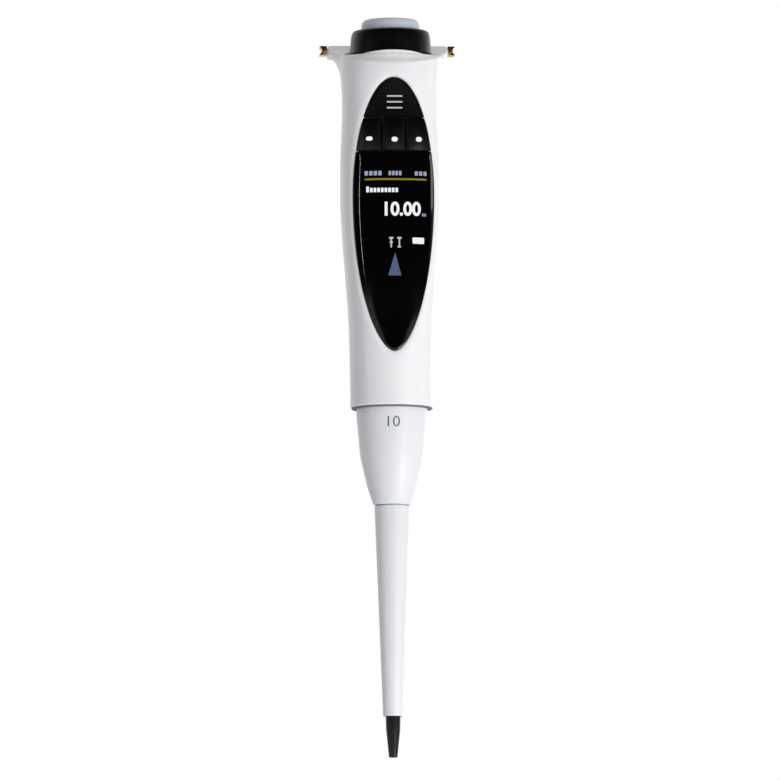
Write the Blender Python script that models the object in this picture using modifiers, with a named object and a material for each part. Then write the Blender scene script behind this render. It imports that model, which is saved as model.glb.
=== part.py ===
"""Electronic single-channel pipette, modelled as the pieces it is assembled from.

Heights are measured upwards from the end of the tip cone, along the pipette's own axis.
The front, with the display and the keys, faces -Y, and the finger hook points to +Y.
The frame empty then lowers the whole instrument, so that the world's origin lies on the
axis, level with the undersides of the charging contacts that it hangs by.
"""

import math

import bmesh
import bpy
from mathutils import Matrix, Vector

MM = 0.001

# Clearances
GAP = 0.3 * MM  # between neighbouring pieces that touch on the real instrument
SLIDE_GAP = 0.35 * MM  # round anything that slides or turns
THROUGH = 2.0 * MM  # how far a cutter runs past the faces that it cuts
FAR = 60.0 * MM  # past the outside of the whole instrument

# Travel of the moving pieces
STROKE = 12.8 * MM
BLOW_OUT = 2.0 * MM
EJECT_TRAVEL = 7.0 * MM
BUTTON_TRAVEL = 1.0 * MM
EJECT_KEY_TRAVEL = 0.8 * MM
SOFT_KEY_TRAVEL = 0.5 * MM
SWITCH_TRAVEL = 2.0 * MM

# Tip cone, its seal and the piston
CONE_REACH = 11.6 * MM
CONE_END_RADIUS = 1.2 * MM
CONE_ROOT_RADIUS = 2.1 * MM
CONE_SHAFT_RADIUS = 3.1 * MM
CONE_FLANGE_RADIUS = 4.8 * MM
CONE_FLANGE_HEIGHT = 2.1 * MM
CONE_SEAT = 11.6 * MM  # how far the cone's flange stands above the bell's mouth
AIRWAY_RADIUS = 0.45 * MM
FILTER_RADIUS = 0.55 * MM
FILTER_LENGTH = 2.5 * MM
FILTER_SEAT_RADIUS = 0.8 * MM
PISTON_RADIUS = 0.5 * MM
CYLINDER_LENGTH = 32.0 * MM
SEAL_CHAMBER_LENGTH = 21.0 * MM
SEAL_CHAMBER_RADIUS = 2.2 * MM
SEAL_HEIGHT = 3.0 * MM
SEAL_COLLAR_HEIGHT = 6.0 * MM
SEAL_WIRE_RADIUS = 0.2 * MM
NUT_RADIUS = 6.2 * MM
NUT_SKIRT = 4.8 * MM
NUT_LIP = 1.0 * MM

# Ejector sleeve: the tapered tube and the bell above it
TUBE_LENGTH = 59.8 * MM
TUBE_END_RADIUS = 2.85 * MM
TUBE_TOP_RADIUS = 5.05 * MM
TUBE_WALL = 0.65 * MM
TUBE_LIP = 0.4 * MM  # the tube's wall at its lower end
SPIGOT_RADIUS = 4.2 * MM
SPIGOT_CLEARANCE = 0.7 * MM  # between the spigot's end and the ring nut
BELL_LENGTH = 27.5 * MM
BELL_HIDDEN_LENGTH = 8.0 * MM
BELL_MOUTH_RADIUS = 5.3 * MM
BELL_RADIUS = 10.15 * MM
BELL_WALL = 1.0 * MM
BELL_FLANGE_HEIGHT = 2.2 * MM
BELL_FLANGE_HOLE = 6.4 * MM
RING_HEIGHT = 1.8 * MM
PUSH_ROD_RADIUS = 1.0 * MM
PUSH_ROD_OFFSET = 8.8 * MM
CROSSHEAD_HEIGHT = 3.0 * MM
CROSSHEAD_WIDTH = 6.0 * MM
EJECTOR_SPRING_RADIUS = 7.2 * MM
EJECTOR_WIRE_RADIUS = 0.4 * MM

# Chassis and the piston drive
NOSE_RADIUS = 5.5 * MM
NOSE_BORE = 2.75 * MM
SPRING_FLANGE_RADIUS = 8.0 * MM
SPRING_FLANGE_HEIGHT = 1.2 * MM
PLATFORM_HEIGHT = 4.0 * MM
MOTOR_PLATE_HEIGHT = 1.6 * MM
MOTOR_PLATE_RADIUS = 7.3 * MM
PILLAR_WIDTH = 6.0 * MM
PILLAR_INNER = 5.6 * MM
PILLAR_SETBACK = 0.2 * MM  # from the motor plate's edge
OVERLAP = 1.0 * MM  # how far joined shapes of one moulding run into each other
CARRIAGE_LENGTH = 14.0 * MM
CARRIAGE_WIDTH = 7.0 * MM
CARRIAGE_HEIGHT = 3.5 * MM
GUIDE_ROD_RADIUS = 0.9 * MM
GUIDE_ROD_OFFSET = 5.2 * MM
LEAD_SCREW_RADIUS = 1.5 * MM
PISTON_ROD_RADIUS = 2.4 * MM
MOTOR_RADIUS = 6.5 * MM
MOTOR_FLATS = 11.0 * MM
GEARHEAD_LENGTH = 9.0 * MM
MOTOR_LENGTH = 15.0 * MM
ENCODER_RADIUS = 5.8 * MM
ENCODER_LENGTH = 3.0 * MM

# Ejector drive
EJECTOR_SCREW_RADIUS = 1.25 * MM
EJECTOR_PLATE_HEIGHT = 1.6 * MM
EJECTOR_MOTOR_RADIUS = 5.0 * MM
EJECTOR_MOTOR_LENGTH = 16.0 * MM

# Head: frame, wheel and operating button
HEAD_PLATE_HEIGHT = 1.5 * MM
HEAD_ROOM = 3.6 * MM
GUIDE_TUBE_RADIUS = 7.6 * MM
GUIDE_BORE = 6.2 * MM
SENSOR_BOARD_HEIGHT = 0.8 * MM
SENSOR_BOARD_RADIUS = 11.6 * MM
ENCODER_RING_RADIUS = 9.9 * MM
ENCODER_RING_HEIGHT = 1.9 * MM
WHEEL_RADIUS = 11.5 * MM
WHEEL_HEIGHT = 6.1 * MM
WHEEL_HUB_RADIUS = 10.1 * MM
BUTTON_RADIUS = 8.3 * MM
BUTTON_RISE = 3.2 * MM
BUTTON_STEM_RADIUS = 5.85 * MM
BUTTON_PIN_RADIUS = 1.2 * MM
BUTTON_SPRING_RADIUS = 3.5 * MM
BUTTON_WIRE_RADIUS = 0.25 * MM
TACT_WIDTH = 3.6 * MM
TACT_HEIGHT = 2.5 * MM

# Housing
WALL = 1.2 * MM
PARTING_DEPTH = 1.5 * MM  # how far behind the axis the two shells meet
COVER_RISE = 4.1 * MM  # from the shells' top edge in front to the wheel's underside
SEAM_RISE = 4.3 * MM  # how far the shells' top edge climbs from the middle to the ears
SEAM_BEND = 2.4  # 2 would make that climb a parabola, and more keeps it flatter in the middle
FLARE_DEPTH = 9.0 * MM  # how far below the seam the housing begins to spread to the ears
RIM_DROP = 1.1 * MM  # from the wheel's underside to the cover's edge in front of it
RECESS_RADIUS = 12.9 * MM
RECESS_SETBACK = 1.0 * MM
RECESS_DROP = 1.25 * MM
LIP_THICKNESS = 0.8 * MM
LIP_RISE = 0.9 * MM
LIP_SWEEP = math.radians(43)
SWEEP_FRONT = 10.0 * MM  # the cover's top sweeps up from here in front of the axis
SWEEP_BACK = 14.0 * MM  # to here behind it
SWEEP_BEND = 2.5
EAR_RISE = 0.8 * MM
EAR_HEIGHT = 2.9 * MM
EAR_REACH = 17.1 * MM
CONTACT_FRONT = 13.0 * MM  # how far behind the axis the contacts begin
CONTACT_WIDTH = 1.75 * MM
CONTACT_WAIST = 0.5 * MM
CONTACT_LENGTH = 6.0 * MM
HOOK_START = 18.0 * MM
HOOK_CENTRE = 26.5 * MM  # how far behind the axis the finger arch is centred
FINGER_RADIUS = 10.5 * MM
HOOK_THICKNESS = 3.3 * MM
HOOK_ROOT_WIDTH = 25.0 * MM
HOOK_TIP_WIDTH = 17.0 * MM
HOOK_SWEEP = math.radians(112)

# Front panel: an egg-shaped opening with the display below and the keys above
PANEL_MARGIN = 4.1 * MM
PANEL_HALF_WIDTH = 11.65 * MM
PANEL_UPPER = 33.4 * MM
PANEL_LOWER = 44.0 * MM
EJECT_KEY_HEIGHT = 11.4 * MM
SOFT_KEY_HEIGHT = 9.4 * MM
MIDDLE_KEY_HALF_WIDTH = 3.45 * MM
SOFT_KEY_CENTRE = 6.6 * MM
KEY_POST_RADIUS = 1.1 * MM
KEY_SWITCH_WIDTH = 4.0 * MM
KEY_SWITCH_HEIGHT = 1.2 * MM

# Electronics
BOARD_FACE = 8.6 * MM  # how far in front of the axis the main board's front face lies
BOARD_THICKNESS = 0.8 * MM
BOARD_HALF_WIDTH = 9.3 * MM
DISPLAY_HALF_WIDTH = 7.6 * MM
DISPLAY_LENGTH = 29.0 * MM
DISPLAY_THICKNESS = 1.3 * MM
DISPLAY_DROP = 3.6 * MM
BATTERY_HALF_WIDTH = 7.0 * MM
BATTERY_LENGTH = 27.0 * MM
BATTERY_THICKNESS = 4.2 * MM
BATTERY_FACE = 7.6 * MM
BATTERY_DROP = 2.0 * MM
CRADLE_THICKNESS = 1.4 * MM
CRADLE_LIP = 1.5 * MM
CHARGER_FACE = 12.3 * MM
CHARGER_HALF_WIDTH = 5.6 * MM
CHARGER_LENGTH = 12.6 * MM
SOCKET_WIDTH = 7.5 * MM
SOCKET_HEIGHT = 2.8 * MM
SWITCH_WIDTH = 3.2 * MM
SWITCH_HEIGHT = 3.2 * MM
SCREW_HEAD_RADIUS = 1.7 * MM
SCREW_SHANK_RADIUS = 0.9 * MM
SCREW_LENGTH = 7.0 * MM

# Heights of the stack, each worked out from the piece below it
TUBE_LOW = CONE_REACH
BELL_LOW = TUBE_LOW + TUBE_LENGTH
CONE_LENGTH = BELL_LOW + CONE_SEAT
CONE_FLANGE_LOW = CONE_LENGTH - CONE_FLANGE_HEIGHT
NUT_LOW = CONE_FLANGE_LOW - GAP - NUT_LIP
SPIGOT_TOP = NUT_LOW - SPIGOT_CLEARANCE
RIM = BELL_LOW + BELL_LENGTH
BELL_TOP = RIM + BELL_HIDDEN_LENGTH
RING_LOW = BELL_TOP + GAP
RING_TOP = RING_LOW + RING_HEIGHT
PLATFORM_LOW = RING_TOP + GAP
PLATFORM_TOP = PLATFORM_LOW + PLATFORM_HEIGHT
CARRIAGE_LOW = PLATFORM_TOP + GAP + BLOW_OUT
CARRIAGE_TOP = CARRIAGE_LOW + CARRIAGE_HEIGHT
MOTOR_PLATE_LOW = CARRIAGE_TOP + STROKE + GAP
MOTOR_PLATE_TOP = MOTOR_PLATE_LOW + MOTOR_PLATE_HEIGHT
GEARHEAD_LOW = MOTOR_PLATE_TOP + GAP
MOTOR_LOW = GEARHEAD_LOW + GEARHEAD_LENGTH + GAP
ENCODER_LOW = MOTOR_LOW + MOTOR_LENGTH + GAP
ENCODER_TOP = ENCODER_LOW + ENCODER_LENGTH
CROSSHEAD_LOW = ENCODER_TOP + GAP + EJECT_TRAVEL
CROSSHEAD_TOP = CROSSHEAD_LOW + CROSSHEAD_HEIGHT
EJECTOR_PLATE_LOW = CROSSHEAD_TOP + GAP
EJECTOR_PLATE_TOP = EJECTOR_PLATE_LOW + EJECTOR_PLATE_HEIGHT
EJECTOR_MOTOR_LOW = EJECTOR_PLATE_TOP + GAP
HEAD_PLATE_LOW = EJECTOR_MOTOR_LOW + EJECTOR_MOTOR_LENGTH + GAP
HEAD_PLATE_TOP = HEAD_PLATE_LOW + HEAD_PLATE_HEIGHT
SHELL_TOP = HEAD_PLATE_TOP + HEAD_ROOM
DECK = SHELL_TOP + COVER_RISE
EAR_LOW = DECK + EAR_RISE
EAR_TOP = EAR_LOW + EAR_HEIGHT
WHEEL_LOW = DECK + GAP
WHEEL_TOP = WHEEL_LOW + WHEEL_HEIGHT
FINGER_ARCH = EAR_LOW - GAP - FINGER_RADIUS
PANEL_TOP = SHELL_TOP - PANEL_MARGIN
PANEL_WIDEST = PANEL_TOP - PANEL_UPPER
KEY_SPLIT = PANEL_TOP - EJECT_KEY_HEIGHT
LENS_TOP = KEY_SPLIT - SOFT_KEY_HEIGHT

# Housing sections as (height, front half width, rear half width, front depth, rear depth,
# front squareness, rear squareness). The lower rows stand on the rim, the upper rows hang
# from the shells' top edge. Squareness 2 is an ellipse, and more is closer to a box.
LOWER_SECTIONS = (
    (0.0, 11.75, 11.75, 11.75, 11.75, 2.0, 2.0),
    (13.1, 11.90, 11.90, 12.00, 12.30, 2.1, 2.1),
    (25.1, 12.20, 12.20, 12.50, 13.60, 2.4, 2.3),
    (36.1, 13.05, 13.05, 13.10, 15.00, 2.6, 2.5),
    (47.6, 13.90, 13.90, 13.60, 16.00, 2.7, 2.5),
)
UPPER_SECTIONS = (
    (-37.6, 14.45, 14.45, 13.90, 16.40, 2.7, 2.5),
    (-26.6, 14.40, 14.40, 14.10, 16.30, 2.7, 2.5),
    (-14.6, 13.95, 13.95, 14.20, 15.90, 2.6, 2.4),
    (-9.1, 13.90, 13.90, 14.30, 15.90, 2.5, 2.3),
    (-4.6, 14.05, 14.20, 14.50, 16.20, 2.4, 2.4),
    (-2.0, 14.20, 14.90, 14.60, 16.90, 2.3, 2.7),
    (-1.0, 14.30, 15.70, 14.60, 17.30, 2.2, 3.0),
    (0.0, 14.40, 16.80, 14.60, 17.70, 2.2, 3.4),
    (1.2, 13.85, 16.90, 13.75, 19.00, 2.1, 3.8),
    (2.4, 13.40, 17.00, 13.20, 20.90, 2.1, 4.6),
    (3.3, 13.20, 17.05, 13.05, 22.90, 2.0, 5.5),
    (4.1, 13.10, 17.10, 13.10, 24.90, 2.0, 7.0),
    (4.9, 13.00, 17.10, 13.00, 26.40, 2.0, 8.0),
    (7.2, 13.00, 17.10, 13.00, 26.40, 2.0, 8.0),
    (7.8, 12.60, 16.60, 12.60, 25.90, 2.0, 8.0),
)
AROUND = 36  # points round each housing section

PARTS = "Electronic pipette"
CUTTERS = "Cutters"


def clear_scene():
    for old in list(bpy.data.objects):
        bpy.data.objects.remove(old, do_unlink=True)


def new_collection(name):
    group = bpy.data.collections.new(name)
    bpy.context.scene.collection.children.link(group)
    return group


clear_scene()
parts = new_collection(PARTS)
cutters = new_collection(CUTTERS)
frame = bpy.data.objects.new("frame", None)
parts.objects.link(frame)
frame.location = (0, 0, -EAR_LOW)


# Materials


def material(name, colour, roughness, metallic=0.0):
    """A Principled material in one plain colour."""
    made = bpy.data.materials.new(name)
    made.use_nodes = True
    shader = made.node_tree.nodes["Principled BSDF"]
    shader.inputs["Base Color"].default_value = (*colour, 1.0)
    shader.inputs["Roughness"].default_value = roughness
    shader.inputs["Metallic"].default_value = metallic
    made.diffuse_color = (*colour, 1.0)
    return made


WHITE = material("white moulding", (0.80, 0.81, 0.83), 0.35)
SLEEVE_WHITE = material("sleeve moulding", (0.78, 0.79, 0.81), 0.4)
BLACK = material("black moulding", (0.015, 0.015, 0.017), 0.45)
GLOSS_BLACK = material("display lens", (0.008, 0.008, 0.010), 0.08)
GREY_CAP = material("grey button", (0.58, 0.63, 0.68), 0.4)
CONE_BLACK = material("tip cone moulding", (0.02, 0.02, 0.022), 0.4)
GOLD = material("contact plating", (0.72, 0.52, 0.22), 0.3, 1.0)
STEEL = material("bright steel", (0.62, 0.63, 0.65), 0.25, 1.0)
SPRING_STEEL = material("spring steel", (0.45, 0.46, 0.48), 0.35, 1.0)
FRAME_GREY = material("frame moulding", (0.22, 0.23, 0.25), 0.5)
ACETAL = material("sliding moulding", (0.75, 0.74, 0.70), 0.45)
BOARD_GREEN = material("circuit board", (0.02, 0.16, 0.07), 0.5)
CELL_BLUE = material("battery cell", (0.16, 0.22, 0.34), 0.4)
SWITCH_BLACK = material("switch body", (0.05, 0.05, 0.055), 0.5)
SEAL_WHITE = material("seal", (0.85, 0.85, 0.82), 0.6)


# Modelling


def add(name, mesh, paint=None, sharp=35):
    """Put a mesh in the parts, or in the cutters when it has no material."""
    made = bpy.data.objects.new(name, mesh)
    if paint is None:
        cutters.objects.link(made)
        made.hide_render = True
        made.display_type = "WIRE"
    else:
        parts.objects.link(made)
        mesh.materials.append(paint)
        mesh.shade_smooth()
        mesh.set_sharp_from_angle(angle=math.radians(sharp))
    made.parent = frame
    return made


def mesh_from(shape, name):
    """A mesh from a bmesh, turned right side out where it came out inside out."""
    if shape.calc_volume(signed=True) < 0:
        bmesh.ops.reverse_faces(shape, faces=shape.faces)
    mesh = bpy.data.meshes.new(name)
    shape.to_mesh(mesh)
    shape.free()
    return mesh


def put_origin(piece, place):
    """Move a piece's origin to a point, such as its joint's axis, and leave its shape in place."""
    piece.data.transform(Matrix.Translation(-Vector(place)))
    piece.location = place


def block(name, low, high, paint=None, bevel=0.0):
    """A box between two corners, with its edges rounded if a bevel is given."""
    shape = bmesh.new()
    bmesh.ops.create_cube(shape, size=1.0)
    size = Vector(high) - Vector(low)
    bmesh.ops.scale(shape, vec=size, verts=shape.verts)
    bmesh.ops.translate(shape, vec=(Vector(low) + Vector(high)) / 2, verts=shape.verts)
    made = add(name, mesh_from(shape, name), paint)
    if bevel:
        round_edges(made, bevel)
    return made


def round_edges(piece, width, segments=2):
    edge = piece.modifiers.new("rounded edges", "BEVEL")
    edge.width = width
    edge.segments = segments
    edge.limit_method = "ANGLE"
    edge.angle_limit = math.radians(40)


def rod(name, start, end, radius, paint=None, sides=24, end_radius=None):
    """A round bar, or a taper, from one point to another."""
    start, end = Vector(start), Vector(end)
    along = end - start
    shape = bmesh.new()
    bmesh.ops.create_cone(
        shape,
        cap_ends=True,
        segments=sides,
        radius1=radius,
        radius2=radius if end_radius is None else end_radius,
        depth=along.length,
    )
    turn = along.to_track_quat("Z", "Y").to_matrix().to_4x4()
    shape.transform(Matrix.Translation((start + end) / 2) @ turn)
    return add(name, mesh_from(shape, name), paint)


def turned(name, profile, paint=None, sides=36, place=(0, 0)):
    """A turned piece from (radius, height) points that run down its outer side.

    A profile that starts on the axis is a solid, and any other is closed into a ring.
    """
    shape = bmesh.new()
    points = [shape.verts.new((radius, 0, height)) for radius, height in profile]
    for upper, lower in zip(points, points[1:]):
        shape.edges.new((upper, lower))
    if profile[0][0] > 0:
        shape.edges.new((points[-1], points[0]))
    mesh = bpy.data.meshes.new(name)
    shape.to_mesh(mesh)
    shape.free()
    made = add(name, mesh, paint)
    made.location = (*place, 0)
    spin = made.modifiers.new("turning", "SCREW")
    spin.axis = "Z"
    spin.angle = math.tau
    spin.steps = sides
    spin.render_steps = sides
    spin.use_merge_vertices = True
    spin.merge_threshold = 0.01 * MM
    spin.use_smooth_shade = True
    return made


def ring(name, outer, inner, low, high, paint=None, sides=36):
    return turned(name, [(outer, high), (outer, low), (inner, low), (inner, high)], paint, sides)


def prism(name, outline, low, high, axis="Z", paint=None):
    """A flat outline drawn out along an axis.

    The outline's points are (x, y) along Z, (x, z) along Y and (y, z) along X.
    """
    places = {
        "Z": lambda a, b: (a, b, low),
        "Y": lambda a, b: (a, low, b),
        "X": lambda a, b: (low, a, b),
    }
    shape = bmesh.new()
    face = shape.faces.new([shape.verts.new(places[axis](a, b)) for a, b in outline])
    grown = bmesh.ops.extrude_face_region(shape, geom=[face])
    moved = [item for item in grown["geom"] if isinstance(item, bmesh.types.BMVert)]
    step = {"X": (high - low, 0, 0), "Y": (0, high - low, 0), "Z": (0, 0, high - low)}[axis]
    bmesh.ops.translate(shape, vec=step, verts=moved)
    return add(name, mesh_from(shape, name), paint)


def loft(name, rings, paint=None, capped=True):
    """A skin through closed rings of points, each ring with as many points as the others."""
    shape = bmesh.new()
    rows = [[shape.verts.new(point) for point in row] for row in rings]
    count = len(rows[0])
    for lower, upper in zip(rows, rows[1:]):
        for i in range(count):
            j = (i + 1) % count
            shape.faces.new((lower[i], lower[j], upper[j], upper[i]))
    bmesh.ops.triangulate(shape, faces=shape.faces)
    if capped:
        shape.faces.new(list(reversed(rows[0])))
        shape.faces.new(rows[-1])
    return add(name, mesh_from(shape, name), paint)


def boolean(piece, other, operation):
    step = piece.modifiers.new(operation.lower() + " " + other.name, "BOOLEAN")
    step.operation = operation
    step.solver = "EXACT"
    step.object = other


def cut(piece, *tools):
    for tool in tools:
        boolean(piece, tool, "DIFFERENCE")


def join(piece, *others):
    for other in others:
        boolean(piece, other, "UNION")


def coil(name, low, high, radius, wire, turns, paint):
    """A compression spring on the axis, whose end turns lie inside the two heights."""
    curve = bpy.data.curves.new(name, "CURVE")
    curve.dimensions = "3D"
    curve.bevel_depth = wire
    curve.bevel_resolution = 1
    curve.resolution_u = 1
    curve.use_fill_caps = True
    steps = 8
    count = turns * steps + 1
    line = curve.splines.new("POLY")
    line.points.add(count - 1)
    for i in range(count):
        angle = math.tau * i / steps
        height = low + wire + (high - low - 2 * wire) * i / (count - 1)
        line.points[i].co = (radius * math.cos(angle), radius * math.sin(angle), height, 1)
    made = bpy.data.objects.new(name, curve)
    curve.materials.append(paint)
    parts.objects.link(made)
    made.parent = frame
    return made


# Housing form


def housing_rows():
    rows = [(RIM + row[0] * MM, *row[1:]) for row in LOWER_SECTIONS]
    rows += [(SHELL_TOP + row[0] * MM, *row[1:]) for row in UPPER_SECTIONS]
    return rows


def smooth_value(height, column):
    """One column of the sections at any height, on a cubic through its rows."""
    rows = housing_rows()
    if height <= rows[0][0]:
        return rows[0][column]
    if height >= rows[-1][0]:
        return rows[-1][column]
    k = next(i for i in range(len(rows) - 1) if height <= rows[i + 1][0])

    def slope(i):
        before, after = rows[max(i - 1, 0)], rows[min(i + 1, len(rows) - 1)]
        left = rows[i][column] - before[column]
        right = after[column] - rows[i][column]
        if left * right <= 0:
            return 0.0
        return (after[column] - before[column]) / (after[0] - before[0])

    low, high = rows[k], rows[k + 1]
    span = high[0] - low[0]
    t = (height - low[0]) / span
    return (
        (2 * t**3 - 3 * t**2 + 1) * low[column]
        + (t**3 - 2 * t**2 + t) * span * slope(k)
        + (3 * t**2 - 2 * t**3) * high[column]
        + (t**3 - t**2) * span * slope(k + 1)
    )


def section(height, inset=0.0):
    """(front half width, rear half width, front depth, rear depth, front n, rear n)."""
    sizes = [smooth_value(height, column) * MM - inset for column in range(1, 5)]
    return (*sizes, smooth_value(height, 5), smooth_value(height, 6))


def seam_rise(x):
    """How far the shells' top edge has climbed at a distance from the centre plane."""
    return SEAM_RISE * (abs(x) / EAR_REACH) ** SEAM_BEND


def lift(x, height):
    """How far a row of the housing bends up at an x: fully at the seam and less beyond it."""
    if height > SHELL_TOP:
        return seam_rise(x) * max(1 - (height - SHELL_TOP) / (EAR_LOW - SHELL_TOP), 0.0)
    share = max(1 - (SHELL_TOP - height) / FLARE_DEPTH, 0.0)
    return seam_rise(x) * share * share * (3 - 2 * share)


def section_ring(height, inset=0.0, around=AROUND):
    """One row of the housing as points round the axis, bent up towards the ears at the seam."""
    front_width, rear_width, front, rear, front_n, rear_n = section(height, inset)
    points = []
    for i in range(around):
        angle = math.tau * i / around
        c, s = math.cos(angle), math.sin(angle)
        blend = min(max(s / 0.6, 0.0), 1.0)
        blend = blend * blend * (3 - 2 * blend)
        width = front_width + (rear_width - front_width) * blend
        depth, n = (front, front_n) if s < 0 else (rear, rear_n)
        reach = ((abs(c) / width) ** n + (abs(s) / depth) ** n) ** (-1 / n)
        x = reach * c
        points.append((x, reach * s, height + lift(x, height)))
    return points


def half_width_inside(height, depth, inset):
    """The room on each side of the centre plane, at a height and a depth (front is negative)."""
    front_width, rear_width, front, rear, front_n, rear_n = section(height, inset)
    width, reach, n = (front_width, front, front_n) if depth < 0 else (rear_width, rear, rear_n)
    share = min(abs(depth) / reach, 1.0)
    return width * (1 - share**n) ** (1 / n)


def front_depth(height, x, inset=0.0):
    """How far in front of the axis the housing's surface lies at a height and an x."""
    width, _, depth, _, n, _ = section(height, inset)
    return depth * (1 - (abs(x) / width) ** n) ** (1 / n)


def spread(low, high, count):
    return [low + (high - low) * i / (count - 1) for i in range(count)]


def housing_skin(name):
    """The two shells' common wall as one tube, a little longer than the shells at both ends."""
    heights = spread(RIM - THROUGH, SHELL_TOP - FLARE_DEPTH, 12)
    heights += [SHELL_TOP - FLARE_DEPTH * share for share in (0.75, 0.5, 0.33, 0.22, 0.11, 0.0)]
    rings = [section_ring(height) for height in heights + [SHELL_TOP + THROUGH]]
    skin = loft(name, rings, capped=False)
    wall = skin.modifiers.new("wall", "SOLIDIFY")
    wall.thickness = WALL
    wall.offset = -1
    wall.use_even_offset = True
    return skin


def plate_outline(height, inset, front_limit=None, around=AROUND):
    """A flat outline that fits inside the shells at one height, cut off flat in front."""
    outline = [(x, y) for x, y, _ in section_ring(height, inset, around)]
    if front_limit is None:
        return outline
    return clip(outline, 1, -front_limit, True)


def egg(inset=0.0, low=None, high=None, left=None, right=None, steps=44):
    """The panel's egg-shaped outline as (x, z), held between two heights and two sides."""
    width = PANEL_HALF_WIDTH - inset
    outline = []
    for i in range(steps):
        angle = math.tau * (i + 0.5) / steps
        c, s = math.cos(angle), math.sin(angle)
        if s >= 0:
            x, z = width * c, PANEL_WIDEST + (PANEL_UPPER - inset) * s
        else:
            x = width * math.copysign(abs(c) ** 1.16, c)
            z = PANEL_WIDEST + (PANEL_LOWER - inset) * s
        outline.append((x, z))
    limits = [(1, low, True), (1, high, False), (0, left, True), (0, right, False)]
    for side, limit, keep_above in limits:
        if limit is not None:
            outline = clip(outline, side, limit, keep_above)
    return outline


def clip(outline, side, limit, keep_above):
    """The part of a flat outline on one side of a line along an axis."""

    def inside(point):
        return point[side] >= limit if keep_above else point[side] <= limit

    kept = []
    for here, there in zip(outline, outline[1:] + outline[:1]):
        if inside(here):
            kept.append(here)
        if inside(here) != inside(there):
            share = (limit - here[side]) / (there[side] - here[side])
            other = here[1 - side] + (there[1 - side] - here[1 - side]) * share
            kept.append((limit, other) if side == 0 else (other, limit))
    return kept


def battery_room():
    """The lower and upper corners of the battery, which hangs below the ejector plate."""
    top = EJECTOR_PLATE_LOW - BATTERY_DROP
    low_corner = (-BATTERY_HALF_WIDTH, BATTERY_FACE, top - BATTERY_LENGTH)
    high_corner = (BATTERY_HALF_WIDTH, BATTERY_FACE + BATTERY_THICKNESS, top)
    return low_corner, high_corner


def panel_prism(name, outline):
    """A cutter through the front wall along the keys' direction of travel."""
    return prism(name, outline, -FAR, -THROUGH, "Y")


def seam_line(offset):
    """The seam between the shells and the top cover from the front, as (x, z) from left to right."""
    reach = EAR_REACH + THROUGH
    return [(x, SHELL_TOP + seam_rise(x) + offset) for x in spread(-reach, reach, 25)]


# Housing shells


def make_shells():
    skin = housing_skin("housing_wall")
    line = seam_line(-GAP / 2)
    side = line[0][1]
    outline = [(-FAR, side), (-FAR, RIM), (FAR, RIM), (FAR, side), *reversed(line)]
    front_room = prism("front_half", outline, -FAR, PARTING_DEPTH - GAP / 2, "Y")
    rear_room = prism("rear_half", outline, PARTING_DEPTH + GAP / 2, FAR, "Y")

    front = add("front_shell", skin.data.copy(), WHITE)
    copy_modifiers(skin, front)
    boolean(front, front_room, "INTERSECT")
    cut(front, panel_prism("panel_opening", egg()))

    rear = add("rear_shell", skin.data.copy(), WHITE)
    copy_modifiers(skin, rear)
    boolean(rear, rear_room, "INTERSECT")
    cut(rear, *rear_openings())
    join(rear, *battery_cradle())
    return skin


def copy_modifiers(source, target):
    for old in source.modifiers:
        if old.type == "SOLIDIFY":
            new = target.modifiers.new(old.name, old.type)
            new.thickness = old.thickness
            new.offset = old.offset
            new.use_even_offset = old.use_even_offset


SOCKET_LOW = EJECTOR_PLATE_TOP + 1.6 * MM
SWITCH_LOW = SOCKET_LOW + SOCKET_HEIGHT + 1.7 * MM
LOWER_SCREW_HEIGHT = (PLATFORM_LOW + PLATFORM_TOP) / 2


def rear_openings():
    """The charging socket's mouth, the power switch's slot and the lower screw's hole."""
    near = PARTING_DEPTH + THROUGH
    half = SOCKET_WIDTH / 2 + GAP
    mouth = block(
        "socket_mouth", (-half, near, SOCKET_LOW - GAP), (half, FAR, SOCKET_LOW + SOCKET_HEIGHT + GAP)
    )
    half = SWITCH_WIDTH / 2 + GAP
    top = SWITCH_LOW + SWITCH_HEIGHT + SWITCH_TRAVEL + GAP
    slot = block("switch_slot", (-half, near, SWITCH_LOW - GAP), (half, FAR, top))
    start, end = (0, near, LOWER_SCREW_HEIGHT), (0, FAR, LOWER_SCREW_HEIGHT)
    hole = rod("screw_hole", start, end, SCREW_HEAD_RADIUS + GAP, sides=20)
    return mouth, slot, hole


def battery_cradle():
    """Two webs inside the rear shell, each notched round the battery's back and sides."""
    low_corner, high_corner = battery_room()
    clear = Vector((GAP, GAP, GAP))
    room = block("battery_room", Vector(low_corner) - clear, Vector(high_corner) + clear)
    webs = []
    for i, share in enumerate((0.2, 0.8)):
        low = low_corner[2] + BATTERY_LENGTH * share - CRADLE_THICKNESS / 2
        outline = clip(plate_outline(low, WALL / 2), 1, BATTERY_FACE + CRADLE_LIP, True)
        web = prism("battery_web_%d" % i, outline, low, low + CRADLE_THICKNESS)
        cut(web, room)
        webs.append(web)
    return webs


def make_top_cover():
    """The cap round the wheel, which spreads into the ears and carries the finger hook."""
    heights = [SHELL_TOP - THROUGH / 2, SHELL_TOP] + [SHELL_TOP + row[0] * MM for row in UPPER_SECTIONS[-7:]]
    cover = loft("top_cover", [section_ring(height) for height in heights], WHITE)
    join(cover, hook())
    cut(cover, seam_cutter(), deck_cutter())

    above = EAR_TOP + FAR
    low, high = (0, RECESS_SETBACK, DECK - RECESS_DROP), (0, RECESS_SETBACK, above)
    cut(cover, rod("wheel_recess", low, high, RECESS_RADIUS, sides=48))
    join(cover, wheel_lip())
    hole = WHEEL_HUB_RADIUS + SLIDE_GAP
    cut(cover, rod("hub_hole", (0, 0, SHELL_TOP - THROUGH), (0, 0, above), hole, sides=40))
    make_contacts()


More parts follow.
